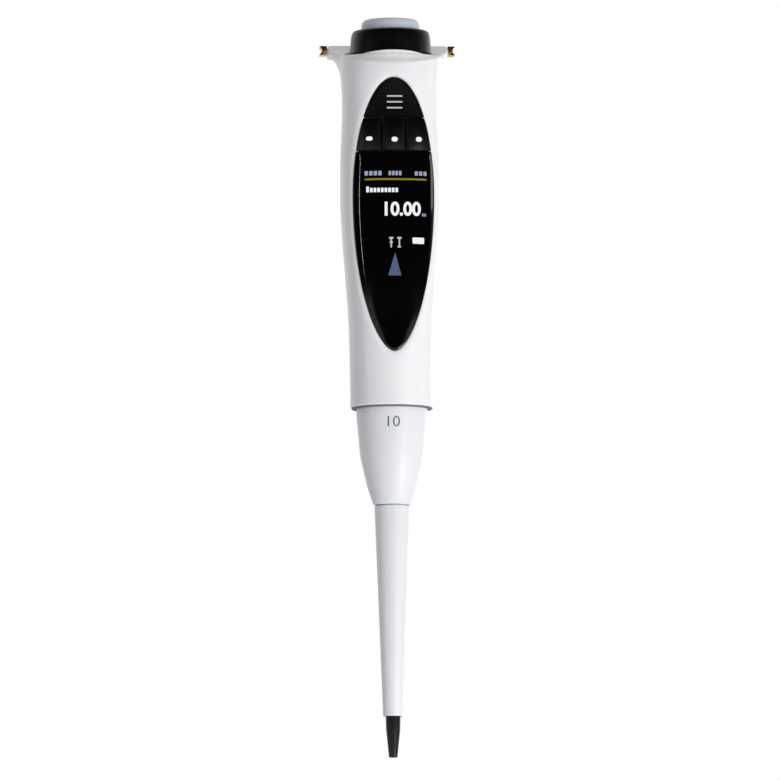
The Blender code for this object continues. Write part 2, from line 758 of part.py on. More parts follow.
def seam_cutter():
    """What is cut away below the seam, in front of the place where the hook comes down."""
    line = seam_line(GAP / 2)
    side = line[0][1]
    outline = [(-FAR, side), (-FAR, RIM), (FAR, RIM), (FAR, side), *reversed(line)]
    return prism("seam_cut", outline, -FAR, HOOK_CENTRE, "Y")


def wheel_lip():
    """The low crescent on the cover's edge in front of the wheel."""
    rings = []
    stations = 13
    inner = RECESS_RADIUS + 0.05 * MM
    outer = inner + LIP_THICKNESS
    edge = DECK - RIM_DROP
    for i in range(stations):
        share = 2 * i / (stations - 1) - 1
        across, ahead = math.sin(LIP_SWEEP * share), math.cos(LIP_SWEEP * share)
        top = edge + LIP_RISE - (LIP_RISE + 0.2 * MM) * share * share
        section_points = (
            (inner, edge - 0.5 * MM),
            (outer, edge - 0.5 * MM),
            (outer, top - 0.1 * MM),
            (outer - 0.1 * MM, top),
            (inner + 0.1 * MM, top),
            (inner, top - 0.1 * MM),
        )
        rings.append([(r * across, RECESS_SETBACK - r * ahead, z) for r, z in section_points])
    return loft("wheel_lip", rings)


def hook():
    """The finger hook: a rounded bar that runs back from the cover and arches down."""
    middle = FINGER_RADIUS + HOOK_THICKNESS / 2
    stations = 12
    path = [(HOOK_START, FINGER_ARCH + middle, 0.0)]
    for i in range(stations):
        turn = HOOK_SWEEP * i / (stations - 1)
        path.append(
            (HOOK_CENTRE + middle * math.sin(turn), FINGER_ARCH + middle * math.cos(turn), turn)
        )
    rings = []
    for k, (y, z, turn) in enumerate(path):
        share = k / stations
        half_width = (HOOK_ROOT_WIDTH + (HOOK_TIP_WIDTH - HOOK_ROOT_WIDTH) * share) / 2
        half_thickness = HOOK_THICKNESS / 2 * (1 - 0.25 * share)
        if k == stations:
            half_width *= 0.86
            half_thickness *= 0.6
        outward = Vector((0, math.sin(turn), math.cos(turn)))
        centre = Vector((0, y, z))
        row = []
        for i in range(16):
            angle = math.tau * i / 16
            c, s = math.cos(angle), math.sin(angle)
            across = half_width * math.copysign(abs(c) ** 0.55, c)
            up = half_thickness * math.copysign(abs(s) ** 0.7, s)
            row.append(centre + Vector((across, 0, 0)) + outward * up)
        rings.append(row)
    return loft("hook_arch", rings)


def deck_cutter():
    """What is cut away above the cover's top, which sweeps up behind the wheel to the ears."""
    low, high = DECK - RIM_DROP, EAR_TOP + GAP
    line = [(-FAR, low)]
    for share in spread(0.0, 1.0, 12):
        depth = -SWEEP_FRONT + (SWEEP_BACK + SWEEP_FRONT) * share
        line.append((depth, low + (high - low) * share**SWEEP_BEND))
    line += [(FAR, high), (FAR, high + FAR), (-FAR, high + FAR)]
    return prism("deck_cut", line, -FAR, FAR, "X")


def make_contacts():
    """Two waisted metal blocks, one at each ear's end, that meet the charging stand's pins."""
    inner = EAR_REACH + GAP
    outer = inner + CONTACT_WIDTH
    waist = outer - CONTACT_WAIST
    flange = EAR_HEIGHT * 0.25
    back = CONTACT_FRONT + CONTACT_LENGTH
    for name, side in (("left_contact", -1), ("right_contact", 1)):
        outline = [
            (side * inner, EAR_LOW),
            (side * outer, EAR_LOW),
            (side * outer, EAR_LOW + flange * 0.6),
            (side * waist, EAR_LOW + flange * 1.3),
            (side * waist, EAR_TOP - flange * 1.3),
            (side * outer, EAR_TOP - flange * 0.6),
            (side * outer, EAR_TOP),
            (side * inner, EAR_TOP),
        ]
        prism(name, outline, CONTACT_FRONT, back, "Y", GOLD)


# Front panel: lens and keys, cut from the same wall as the shell


def make_panel(skin):
    clear = 0.25 * MM
    half = GAP / 2
    split = MIDDLE_KEY_HALF_WIDTH
    pieces = (
        ("display_lens", GLOSS_BLACK, egg(clear, high=LENS_TOP - half)),
        ("eject_key", BLACK, egg(clear, low=KEY_SPLIT + half)),
        ("soft_key_left", BLACK, egg(clear, LENS_TOP + half, KEY_SPLIT - half, None, -split - half)),
        ("soft_key_middle", BLACK, egg(clear, LENS_TOP + half, KEY_SPLIT - half, half - split, split - half)),
        ("soft_key_right", BLACK, egg(clear, LENS_TOP + half, KEY_SPLIT - half, split + half, None)),
    )
    for name, paint, outline in pieces:
        piece = add(name, skin.data.copy(), paint)
        copy_modifiers(skin, piece)
        boolean(piece, panel_prism(name + "_outline", outline), "INTERSECT")
    make_key_switch("eject_key", "eject_switch", 0, KEY_SPLIT + EJECT_KEY_HEIGHT * 0.42, EJECT_KEY_TRAVEL)
    row = (LENS_TOP + KEY_SPLIT) / 2
    for side, x in (("left", -SOFT_KEY_CENTRE), ("middle", 0), ("right", SOFT_KEY_CENTRE)):
        make_key_switch("soft_key_" + side, "soft_switch_" + side, x, row, SOFT_KEY_TRAVEL)


def make_key_switch(key, name, x, height, travel):
    """The switch on the main board behind a key, and the post on the key that presses it."""
    half = KEY_SWITCH_WIDTH / 2
    face = -BOARD_FACE - GAP - KEY_SWITCH_HEIGHT
    block(name, (x - half, face, height - half), (x + half, -BOARD_FACE - GAP, height + half), SWITCH_BLACK)
    wall_middle = -front_depth(height, x) + WALL / 2
    end = face - GAP - travel
    if end > wall_middle:
        post = rod(key + "_post", (x, wall_middle, height), (x, end, height), KEY_POST_RADIUS, sides=12)
        join(bpy.data.objects[key], post)
    put_origin(bpy.data.objects[key], (x, 0, height))


# Tip cone, filter, seal and piston


def tip_taper():
    """The cone's bare end, which a tip is pushed on to: (radius, height) from the sleeve down."""
    swell = CONE_ROOT_RADIUS - CONE_END_RADIUS
    stations = ((1.0, 1.0), (0.9, 1.0), (0.65, 0.89), (0.41, 0.56), (0.155, 0.22), (0.0, 0.0))
    return [(CONE_END_RADIUS + swell * wide, CONE_REACH * high) for high, wide in stations]


def make_tip_cone():
    chamber = CONE_LENGTH - SEAL_CHAMBER_LENGTH
    cylinder = chamber - CYLINDER_LENGTH
    bore = PISTON_RADIUS + GAP
    profile = [
        (CONE_FLANGE_RADIUS, CONE_LENGTH),
        (CONE_FLANGE_RADIUS, CONE_FLANGE_LOW),
        (CONE_SHAFT_RADIUS, CONE_FLANGE_LOW),
        (CONE_SHAFT_RADIUS, chamber - 6 * MM),
        (CONE_SHAFT_RADIUS - 0.6 * MM, cylinder),
        *tip_taper(),
        (FILTER_SEAT_RADIUS, 0),
        (FILTER_SEAT_RADIUS, FILTER_LENGTH + 1.0 * MM),
        (AIRWAY_RADIUS, FILTER_LENGTH + 1.4 * MM),
        (AIRWAY_RADIUS, cylinder),
        (bore, cylinder),
        (bore, chamber),
        (SEAL_CHAMBER_RADIUS, chamber),
        (SEAL_CHAMBER_RADIUS, CONE_LENGTH),
    ]
    turned("tip_cone", profile, CONE_BLACK, 20)
    rod("cone_filter", (0, 0, 0.6 * MM), (0, 0, 0.6 * MM + FILTER_LENGTH), FILTER_RADIUS, SEAL_WHITE, 12)

    hole = PISTON_RADIUS + 0.15 * MM
    outer = SEAL_CHAMBER_RADIUS - GAP
    seal_low = chamber + GAP
    seal_top = seal_low + SEAL_HEIGHT
    ring("piston_seal", outer, hole, seal_low, seal_top, SEAL_WHITE, 20)
    collar_low = CONE_LENGTH - GAP - SEAL_COLLAR_HEIGHT
    ring("seal_collar", outer, bore, collar_low, CONE_LENGTH - GAP, ACETAL, 20)
    coil_radius = (outer + hole) / 2 + 0.1 * MM
    coil("seal_spring", seal_top + GAP, collar_low - GAP, coil_radius, SEAL_WIRE_RADIUS, 4, SPRING_STEEL)

    piston_low = cylinder + GAP + BLOW_OUT
    piston_top = CONE_LENGTH + BLOW_OUT - GAP
    rod("piston", (0, 0, piston_low), (0, 0, piston_top), PISTON_RADIUS, STEEL, 12)
    make_piston_rod(piston_top + GAP)
    make_cone_nut()


def make_piston_rod(low):
    """The push rod, bored from above so that the lead screw runs inside it."""
    top = CARRIAGE_LOW - GAP
    bore = LEAD_SCREW_RADIUS + SLIDE_GAP
    floor = top - STROKE - BLOW_OUT - 2 * MM
    profile = [
        (PISTON_ROD_RADIUS, top),
        (PISTON_ROD_RADIUS, low),
        (0, low),
    ]
    outer = turned("piston_rod", [(0, top), *profile], STEEL, 20)
    cut(outer, rod("screw_bore", (0, 0, floor), (0, 0, top + THROUGH), bore, sides=20))


def make_cone_nut():
    """The ring nut that holds the tip cone's flange up against the chassis nose."""
    low = NUT_LOW
    top = CONE_LENGTH + GAP + NUT_SKIRT
    thread = NOSE_RADIUS - 1.2 * MM
    seat = CONE_LENGTH + GAP / 2
    profile = [
        (NUT_RADIUS - 0.4 * MM, top),
        (NUT_RADIUS, top - 0.4 * MM),
        (NUT_RADIUS, low + 0.5 * MM),
        (NUT_RADIUS - 0.5 * MM, low),
        (CONE_SHAFT_RADIUS + 0.4 * MM, low),
        (CONE_SHAFT_RADIUS + 0.4 * MM, low + NUT_LIP),
        (CONE_FLANGE_RADIUS + GAP, low + NUT_LIP),
        (CONE_FLANGE_RADIUS + GAP, seat),
        (thread + GAP, seat),
        (thread + GAP, top),
    ]
    turned("cone_nut", profile, FRAME_GREY, 24)


# Ejector sleeve and its drive


BELL_STATIONS = (  # (share of the bell's length above its mouth, share of its swell there)
    (1.0, 1.0),
    (0.876, 0.959),
    (0.775, 0.907),
    (0.676, 0.856),
    (0.567, 0.804),
    (0.462, 0.722),
    (0.360, 0.588),
    (0.258, 0.454),
    (0.153, 0.299),
    (0.065, 0.134),
    (0.0, 0.0),
)


def bell_profile():
    """(radius, height above the bell's mouth) down the bell's outer side."""
    swell = BELL_RADIUS - BELL_MOUTH_RADIUS
    line = [(BELL_RADIUS, BELL_LENGTH + BELL_HIDDEN_LENGTH)]
    return line + [(BELL_MOUTH_RADIUS + swell * wide, BELL_LENGTH * high) for high, wide in BELL_STATIONS]


def make_ejector_sleeve():
    outer = [(radius, BELL_LOW + height) for radius, height in bell_profile()]
    inner = [(radius - BELL_WALL, height) for radius, height in reversed(outer[1::2])]
    inner[0] = (SPIGOT_RADIUS + GAP, BELL_LOW)
    flange_low = BELL_TOP - BELL_FLANGE_HEIGHT
    inner += [
        (BELL_RADIUS - BELL_WALL, flange_low),
        (BELL_FLANGE_HOLE, flange_low),
        (BELL_FLANGE_HOLE, BELL_TOP),
    ]
    turned("ejector_bell", outer + inner, SLEEVE_WHITE, 28)

    seat = BELL_LOW - GAP
    profile = [
        (SPIGOT_RADIUS, SPIGOT_TOP),
        (SPIGOT_RADIUS, seat),
        (TUBE_TOP_RADIUS, seat),
        (TUBE_END_RADIUS, TUBE_LOW + 0.3 * MM),
        (TUBE_END_RADIUS - 0.25 * MM, TUBE_LOW),
        (TUBE_END_RADIUS - TUBE_LIP, TUBE_LOW),
        (SPIGOT_RADIUS - TUBE_WALL, seat),
        (SPIGOT_RADIUS - TUBE_WALL, SPIGOT_TOP),
    ]
    turned("ejector_tube", profile, SLEEVE_WHITE, 28)

    spring_low = nose_flange_top() + GAP
    coil(
        "ejector_spring",
        spring_low,
        flange_low - GAP,
        EJECTOR_SPRING_RADIUS,
        EJECTOR_WIRE_RADIUS,
        4,
        SPRING_STEEL,
    )
    make_ejector_yoke()


def make_ejector_yoke():
    """The ring above the bell, two push rods and the crosshead that the ejector screw moves."""
    yoke = ring("ejector_yoke", BELL_RADIUS, BELL_FLANGE_HOLE, RING_LOW, RING_TOP, ACETAL, 32)
    for name, x in (("left_push_rod", -PUSH_ROD_OFFSET), ("right_push_rod", PUSH_ROD_OFFSET)):
        start, end = (x, 0, RING_LOW + 0.2 * MM), (x, 0, CROSSHEAD_TOP - 0.2 * MM)
        join(yoke, rod(name, start, end, PUSH_ROD_RADIUS, sides=10))
    reach = PUSH_ROD_OFFSET + PUSH_ROD_RADIUS + 0.4 * MM
    half = CROSSHEAD_WIDTH / 2
    bar = block("crosshead", (-reach, -half, CROSSHEAD_LOW), (reach, half, CROSSHEAD_TOP))
    join(yoke, bar)
    hole = EJECTOR_SCREW_RADIUS + SLIDE_GAP
    low, high = CROSSHEAD_LOW - THROUGH, CROSSHEAD_TOP + THROUGH
    cut(yoke, rod("crosshead_bore", (0, 0, low), (0, 0, high), hole, sides=16))


def make_ejector_drive():
    plate = prism(
        "ejector_plate",
        plate_outline(EJECTOR_PLATE_LOW, WALL + GAP, BOARD_FACE - BOARD_THICKNESS - GAP),
        EJECTOR_PLATE_LOW,
        EJECTOR_PLATE_TOP,
        "Z",
        FRAME_GREY,
    )
    low, high = EJECTOR_PLATE_LOW - THROUGH, EJECTOR_PLATE_TOP + THROUGH
    hole = EJECTOR_SCREW_RADIUS + SLIDE_GAP
    cut(plate, rod("plate_bore", (0, 0, low), (0, 0, high), hole, sides=16))
    screw_low = CROSSHEAD_LOW - EJECT_TRAVEL
    screw_top = EJECTOR_PLATE_TOP
    rod("ejector_screw", (0, 0, screw_low), (0, 0, screw_top), EJECTOR_SCREW_RADIUS, STEEL, 16)
    top = EJECTOR_MOTOR_LOW + EJECTOR_MOTOR_LENGTH
    rod("ejector_motor", (0, 0, EJECTOR_MOTOR_LOW), (0, 0, top), EJECTOR_MOTOR_RADIUS, STEEL, 28)


# Chassis and piston drive


def nose_low():
    return CONE_LENGTH + GAP


def nose_flange_top():
    return nose_low() + NUT_SKIRT + GAP + SPRING_FLANGE_HEIGHT


def make_chassis():
    """The inner frame: the nose for the tip cone, the platform and the motor's carrier."""
    thread = NOSE_RADIUS - 1.2 * MM
    flange_low = nose_low() + NUT_SKIRT + GAP
    profile = [
        (NOSE_RADIUS, PLATFORM_LOW + OVERLAP),
        (NOSE_RADIUS, nose_flange_top()),
        (SPRING_FLANGE_RADIUS, nose_flange_top()),
        (SPRING_FLANGE_RADIUS, flange_low),
        (thread, flange_low),
        (thread, nose_low()),
        (0, nose_low()),
    ]
    chassis = turned("chassis", [(0, PLATFORM_LOW + OVERLAP), *profile], FRAME_GREY, 24)
    platform = prism("platform", plate_outline(PLATFORM_LOW, WALL + GAP), PLATFORM_LOW, PLATFORM_TOP)
    join(chassis, platform)
    half = PILLAR_WIDTH / 2
    outer = MOTOR_PLATE_RADIUS - PILLAR_SETBACK
    for name, near, far in (("front_pillar", -outer, -PILLAR_INNER), ("rear_pillar", PILLAR_INNER, outer)):
        low, high = PLATFORM_TOP - OVERLAP, MOTOR_PLATE_LOW + OVERLAP
        join(chassis, block(name, (-half, near, low), (half, far, high)))
    start, end = (0, 0, MOTOR_PLATE_LOW), (0, 0, MOTOR_PLATE_TOP)
    join(chassis, rod("motor_plate", start, end, MOTOR_PLATE_RADIUS, sides=32))

    low, high = nose_low() - THROUGH, PLATFORM_TOP + THROUGH
    cut(chassis, rod("rod_bore", (0, 0, low), (0, 0, high), NOSE_BORE, sides=24))
    hole = PUSH_ROD_RADIUS + SLIDE_GAP
    for name, x in (("left_rod_hole", -PUSH_ROD_OFFSET), ("right_rod_hole", PUSH_ROD_OFFSET)):
        low, high = PLATFORM_LOW - THROUGH, PLATFORM_TOP + THROUGH
        cut(chassis, rod(name, (x, 0, low), (x, 0, high), hole, sides=12))
    low, high = MOTOR_PLATE_LOW - THROUGH, MOTOR_PLATE_TOP + THROUGH
    screw_hole = LEAD_SCREW_RADIUS + SLIDE_GAP
    cut(chassis, rod("screw_passage", (0, 0, low), (0, 0, high), screw_hole, sides=16))
    back = section(LOWER_SCREW_HEIGHT)[3] - WALL
    start = (0, back - SCREW_LENGTH, LOWER_SCREW_HEIGHT)
    end = (0, back + THROUGH, LOWER_SCREW_HEIGHT)
    cut(chassis, rod("screw_pilot", start, end, SCREW_SHANK_RADIUS + GAP, sides=12))


def make_housing_screw():
    """The screw that holds the rear shell to the chassis, from behind."""
    back = section(LOWER_SCREW_HEIGHT)[3]
    height = LOWER_SCREW_HEIGHT
    head_low, head_top = back - WALL + 0.1 * MM, back - 0.1 * MM
    head = rod("housing_screw", (0, head_low, height), (0, head_top, height), SCREW_HEAD_RADIUS, STEEL, 20)
    start = (0, back - WALL - SCREW_LENGTH + 2 * MM, height)
    end = (0, head_low + 0.4 * MM, height)
    join(head, rod("screw_shank", start, end, SCREW_SHANK_RADIUS, sides=12))
    slot = block(
        "screw_slot",
        (-0.25 * MM, head_top - 0.5 * MM, height - 1.2 * MM),
        (0.25 * MM, head_top + THROUGH, height + 1.2 * MM),
    )
    cut(head, slot)


def make_piston_drive():
    half_x, half_y = CARRIAGE_LENGTH / 2, CARRIAGE_WIDTH / 2
    carriage = block(
        "drive_nut", (-half_x, -half_y, CARRIAGE_LOW), (half_x, half_y, CARRIAGE_TOP), ACETAL, 0.5 * MM
    )
    low, high = CARRIAGE_LOW - THROUGH, CARRIAGE_TOP + THROUGH
    bore = LEAD_SCREW_RADIUS + SLIDE_GAP
    cut(carriage, rod("nut_bore", (0, 0, low), (0, 0, high), bore, sides=16))
    for side, x in (("left", -GUIDE_ROD_OFFSET), ("right", GUIDE_ROD_OFFSET)):
        hole = rod(side + "_guide_bore", (x, 0, low), (x, 0, high), GUIDE_ROD_RADIUS + SLIDE_GAP, sides=12)
        cut(carriage, hole)
        start, end = (x, 0, PLATFORM_TOP + GAP), (x, 0, MOTOR_PLATE_LOW - GAP)
        rod("guide_rod_" + side, start, end, GUIDE_ROD_RADIUS, STEEL, 12)
    start, end = (0, 0, CARRIAGE_LOW - BLOW_OUT), (0, 0, MOTOR_PLATE_TOP)
    rod("lead_screw", start, end, LEAD_SCREW_RADIUS, STEEL, 16)

    flats = MOTOR_FLATS / 2
    motor_top = MOTOR_LOW + MOTOR_LENGTH
    for name, low, high, paint in (
        ("gearhead", GEARHEAD_LOW, GEARHEAD_LOW + GEARHEAD_LENGTH, FRAME_GREY),
        ("piston_motor", MOTOR_LOW, motor_top, STEEL),
    ):
        body = rod(name, (0, 0, low), (0, 0, high), MOTOR_RADIUS, paint, 32)
        reach = 2 * MOTOR_RADIUS
        room = block(
            name + "_flats", (-reach, -flats, low - THROUGH), (reach, flats, high + THROUGH)
        )
        boolean(body, room, "INTERSECT")
    rod("motor_encoder", (0, 0, ENCODER_LOW), (0, 0, ENCODER_TOP), ENCODER_RADIUS, BLACK, 28)


# Electronics


def make_electronics():
    make_main_board()
    top = LENS_TOP - DISPLAY_DROP
    back = -BOARD_FACE - GAP
    low_corner = (-DISPLAY_HALF_WIDTH, back - DISPLAY_THICKNESS, top - DISPLAY_LENGTH)
    block("display_module", low_corner, (DISPLAY_HALF_WIDTH, back, top), SWITCH_BLACK)

    block("battery", *battery_room(), CELL_BLUE, 0.8 * MM)

    low = EJECTOR_PLATE_TOP + GAP
    low_corner = (-CHARGER_HALF_WIDTH, CHARGER_FACE, low)
    high_corner = (CHARGER_HALF_WIDTH, CHARGER_FACE + BOARD_THICKNESS, low + CHARGER_LENGTH)
    block("charging_board", low_corner, high_corner, BOARD_GREEN)
    make_socket_and_switch(CHARGER_FACE + BOARD_THICKNESS + GAP)


def make_main_board():
    """The board behind the panel, which narrows downwards with the housing."""
    depth = -BOARD_FACE
    low, high = PLATFORM_TOP + GAP, HEAD_PLATE_LOW - GAP
    right = []
    for height in spread(low, high, 9):
        room = half_width_inside(height, depth, WALL + GAP)
        right.append((min(room, BOARD_HALF_WIDTH), height))
    outline = right + [(-x, z) for x, z in reversed(right)]
    prism("main_board", outline, depth, depth + BOARD_THICKNESS, "Y", BOARD_GREEN)


def make_socket_and_switch(face):
    """The charging socket and the power switch's knob, both on the charging board."""
    wall = section(SOCKET_LOW)[3]
    half = SOCKET_WIDTH / 2
    mouth = wall - 0.3 * MM
    socket = block(
        "charging_socket", (-half, face, SOCKET_LOW), (half, mouth, SOCKET_LOW + SOCKET_HEIGHT), STEEL
    )
    thin = 0.35 * MM
    inside = block(
        "socket_inside",
        (-half + thin, face + 0.8 * MM, SOCKET_LOW + thin),
        (half - thin, mouth + THROUGH, SOCKET_LOW + SOCKET_HEIGHT - thin),
    )
    cut(socket, inside)
    half = SWITCH_WIDTH / 2
    crown = section(SWITCH_LOW)[3] + 0.5 * MM
    knob = block(
        "power_switch", (-half, face, SWITCH_LOW), (half, crown, SWITCH_LOW + SWITCH_HEIGHT), BLACK
    )
    for i in range(2):
        height = SWITCH_LOW + SWITCH_HEIGHT * (i + 1) / 3
        groove = rod(
            "knob_groove_%d" % i,
            (-half - THROUGH, crown, height),
            (half + THROUGH, crown, height),
            0.3 * MM,
            sides=8,
        )
        cut(knob, groove)
    put_origin(knob, (0, face, SWITCH_LOW))


# Head: frame, sensor board, wheel and button


def make_head():
    plate_low, plate_top = HEAD_PLATE_LOW, HEAD_PLATE_TOP
    guide_top = WHEEL_TOP - 1.9 * MM
    ledge = guide_top + 0.2 * MM
    plate = prism(
        "head_frame",
        plate_outline(plate_low, WALL + GAP, 11.3 * MM),
        plate_low,
        plate_top,
        "Z",
        FRAME_GREY,
    )
    start, end = (0, 0, plate_top - 0.5 * MM), (0, 0, guide_top)
    join(plate, rod("guide_post", start, end, GUIDE_TUBE_RADIUS, sides=28))
    cut(plate, rod("guide_bore", (0, 0, plate_top), (0, 0, guide_top + THROUGH), GUIDE_BORE, sides=28))

    board_low = plate_top + GAP
    board_top = board_low + SENSOR_BOARD_HEIGHT
    inner = GUIDE_TUBE_RADIUS + GAP
    ring("sensor_board", SENSOR_BOARD_RADIUS, inner, board_low, board_top, BOARD_GREEN, 28)
    magnet_low = board_top + SLIDE_GAP
    magnet_top = magnet_low + ENCODER_RING_HEIGHT
    inner = GUIDE_TUBE_RADIUS + SLIDE_GAP
    ring("encoder_ring", ENCODER_RING_RADIUS, inner, magnet_low, magnet_top, BLACK, 28)
    make_wheel(magnet_top + GAP, inner, ledge)
    make_button(plate_top, ledge)


def make_wheel(low, bore, ledge):
    """The adjustment wheel: a black ring with a rounded shoulder and a hub inside the cover."""
    r, top = WHEEL_RADIUS, WHEEL_TOP
    profile = [
        (9.2 * MM, top),
        (r - 1.3 * MM, top - 0.15 * MM),
        (r - 0.8 * MM, top - 0.5 * MM),
        (r - 0.45 * MM, top - 1.1 * MM),
        (r - 0.25 * MM, top - 2.2 * MM),
        (r - 0.15 * MM, top - 4.0 * MM),
        (r, WHEEL_LOW),
        (WHEEL_HUB_RADIUS, WHEEL_LOW),
        (WHEEL_HUB_RADIUS, low),
        (bore, low),
        (bore, ledge),
        (BUTTON_RADIUS + SLIDE_GAP, ledge),
        (BUTTON_RADIUS + SLIDE_GAP, top - 0.15 * MM),
    ]
    turned("adjustment_wheel", profile, BLACK, 36)


def make_button(floor, ledge):
    """The operating button, with its stem in the guide tube, its spring and its switch."""
    top = WHEEL_TOP + BUTTON_RISE
    cap_low = ledge + BUTTON_TRAVEL + GAP
    switch_low = floor + GAP
    switch_top = switch_low + TACT_HEIGHT
    pin_low = switch_top + GAP + BUTTON_TRAVEL
    stem_low = pin_low + 1.4 * MM
    pocket = BUTTON_SPRING_RADIUS + BUTTON_WIRE_RADIUS + GAP
    ceiling = cap_low - 1.5 * MM
    r = BUTTON_RADIUS
    profile = [
        (0, top),
        (4.5 * MM, top - 0.04 * MM),
        (r - 1.6 * MM, top - 0.2 * MM),
        (r - 0.7 * MM, top - 0.6 * MM),
        (r - 0.2 * MM, top - 1.2 * MM),
        (r, top - 2.0 * MM),
        (r, cap_low),
        (BUTTON_STEM_RADIUS, cap_low),
        (BUTTON_STEM_RADIUS, stem_low),
        (pocket, stem_low),
        (pocket, ceiling),
        (BUTTON_PIN_RADIUS, ceiling),
        (BUTTON_PIN_RADIUS, pin_low),
        (0, pin_low),
    ]
    turned("operating_button", profile, GREY_CAP, 28)
    coil(
        "button_spring",
        floor + GAP,
        ceiling - GAP,
        BUTTON_SPRING_RADIUS,
        BUTTON_WIRE_RADIUS,
        4,
        SPRING_STEEL,
    )
    half = TACT_WIDTH / 2
    block("button_switch", (-half, -half, switch_low), (half, half, switch_top), SWITCH_BLACK)


def main():
    skin = make_shells()
    make_top_cover()
    make_panel(skin)
    make_tip_cone()
    make_ejector_sleeve()
    make_ejector_drive()
    make_chassis()
    make_housing_screw()
    make_piston_drive()
    make_electronics()
    make_head()


main()
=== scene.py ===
"""The looks of an electronic single-channel pipette, dressed piece by piece over its CAD part.

The frame is in metres: its origin lies on the pipette's axis, level with the undersides of the
charging contacts. +Z runs up the axis and the display looks towards -Y. The sections below give
heights in millimetres above the end of the tip cone, as the maker's drawing does.
"""

import math

import bmesh
import bpy
import numpy as np
from mathutils import Matrix, Vector


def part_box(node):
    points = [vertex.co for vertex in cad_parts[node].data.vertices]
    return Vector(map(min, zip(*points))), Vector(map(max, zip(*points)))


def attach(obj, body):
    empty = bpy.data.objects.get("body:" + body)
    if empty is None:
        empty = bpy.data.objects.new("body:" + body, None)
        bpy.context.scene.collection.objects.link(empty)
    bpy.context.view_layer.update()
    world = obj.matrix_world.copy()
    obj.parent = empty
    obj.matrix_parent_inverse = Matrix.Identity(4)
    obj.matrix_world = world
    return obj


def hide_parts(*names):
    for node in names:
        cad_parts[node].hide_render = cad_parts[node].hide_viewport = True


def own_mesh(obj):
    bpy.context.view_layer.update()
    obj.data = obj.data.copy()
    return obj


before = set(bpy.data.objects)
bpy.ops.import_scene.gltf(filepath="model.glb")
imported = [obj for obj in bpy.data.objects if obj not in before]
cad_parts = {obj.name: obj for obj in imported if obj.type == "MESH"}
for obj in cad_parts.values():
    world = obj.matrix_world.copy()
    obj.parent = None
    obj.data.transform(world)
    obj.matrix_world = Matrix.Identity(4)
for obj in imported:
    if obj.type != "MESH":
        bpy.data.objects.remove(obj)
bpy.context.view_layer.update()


# Inner frame: the chassis, the ejector's plate and the head's plate are moulded in dark grey
# glass-filled nylon and screwed together inside the housing. Short fibres leave a fine grain.


def added(tree, kind, values={}, fed={}):
    """A new node, with inputs that are set to values or fed by other nodes' outputs."""
    made = tree.nodes.new("ShaderNode" + kind)
    for place, value in values.items():
        made.inputs[place].default_value = value
    for place, output in fed.items():
        tree.links.new(output, made.inputs[place])
    return made


def plain(name, settings):
    """A new material, with its node tree and its shader, whose inputs are set to these values."""
    made = bpy.data.materials.new(name)
    made.use_nodes = True
    shader = made.node_tree.nodes["Principled BSDF"]
    for place, value in settings.items():
        shader.inputs[place].default_value = value
    return made, made.node_tree, shader


def surface(name, colour, roughness, metallic=0.0, specular=0.5, drift=0.04, grain=0.35,
            depth=0.006, uneven=0.05, stretch=(1, 1, 1)):
    """A finish whose colour and gloss drift a little, over a grain sized and raised in mm."""
    made, tree, shader = plain(name, {"Metallic": metallic, "Specular IOR Level": specular})
    where = added(tree, "TexCoord").outputs["Object"]
    stretched = added(tree, "Mapping", {"Scale": stretch}, {"Vector": where}).outputs["Vector"]

    # Clouds some 8 mm across shift the colour and the gloss.
    cloud = added(tree, "TexNoise", {"Scale": 120, "Detail": 3}, {"Vector": stretched})
    tint = added(tree, "ValToRGB", fed={"Fac": cloud.outputs["Fac"]})
    for stop, place, share in zip(tint.color_ramp.elements, (0.3, 0.7), (1 - drift, 1 + drift)):
        stop.position = place
        stop.color = (*[min(c * share, 1) for c in colour], 1)
    tree.links.new(tint.outputs["Color"], shader.inputs["Base Color"])
    rough = {"To Min": max(roughness - uneven, 0.02), "To Max": roughness + uneven}
    gloss = added(tree, "MapRange", {"From Min": 0.3, "From Max": 0.7, **rough},
                  {"Value": cloud.outputs["Fac"]})
    tree.links.new(gloss.outputs["Result"], shader.inputs["Roughness"])

    speck = added(tree, "TexNoise", {"Scale": 1000 / grain, "Detail": 2}, {"Vector": stretched})
    relief = added(tree, "Bump", {"Strength": 0.5, "Distance": depth / 1000},
                   {"Height": speck.outputs["Fac"]})
    tree.links.new(relief.outputs["Normal"], shader.inputs["Normal"])
    return made


def dress(material, *nodes):
    """Gives nodes that keep their own shape a finish."""
    for node in nodes:
        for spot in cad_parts[node].material_slots:
            spot.material = material


nylon = surface("glass-filled nylon", (0.20, 0.21, 0.23), 0.5, drift=0.10, grain=0.25, depth=0.02)
dress(nylon, "chassis", "ejector_plate", "head_frame", "cone_nut")


# Piston drive: a stepper motor with a gearhead turns a ground steel screw, and the acetal
# carriage on two guide rods pushes the rod and the thin piston down into the cone.

TURNED, DRAWN = (1, 1, 12), (1, 1, 0.1)  # stretches that lay the grain round a part or along it
turned_steel = surface(
    "turned steel", (0.60, 0.61, 0.63), 0.26, 1.0,
    drift=0.05, grain=0.12, depth=0.004, stretch=TURNED,
)
acetal = surface("acetal", (0.74, 0.73, 0.69), 0.42, drift=0.03, grain=0.5, depth=0.006)
can_steel = surface(
    "rolled can", (0.50, 0.51, 0.53), 0.34, 1.0, drift=0.08, grain=0.2, stretch=DRAWN
)
gear_case = surface("gear case", (0.13, 0.135, 0.14), 0.45, drift=0.12, grain=0.3, depth=0.02)
pickup_case = surface("pickup case", (0.02, 0.02, 0.022), 0.4, drift=0.2, grain=0.3)
dress(turned_steel, "lead_screw", "guide_rod_left", "guide_rod_right", "piston_rod", "piston")
dress(acetal, "drive_nut", "seal_collar")
dress(can_steel, "piston_motor")
dress(gear_case, "gearhead")
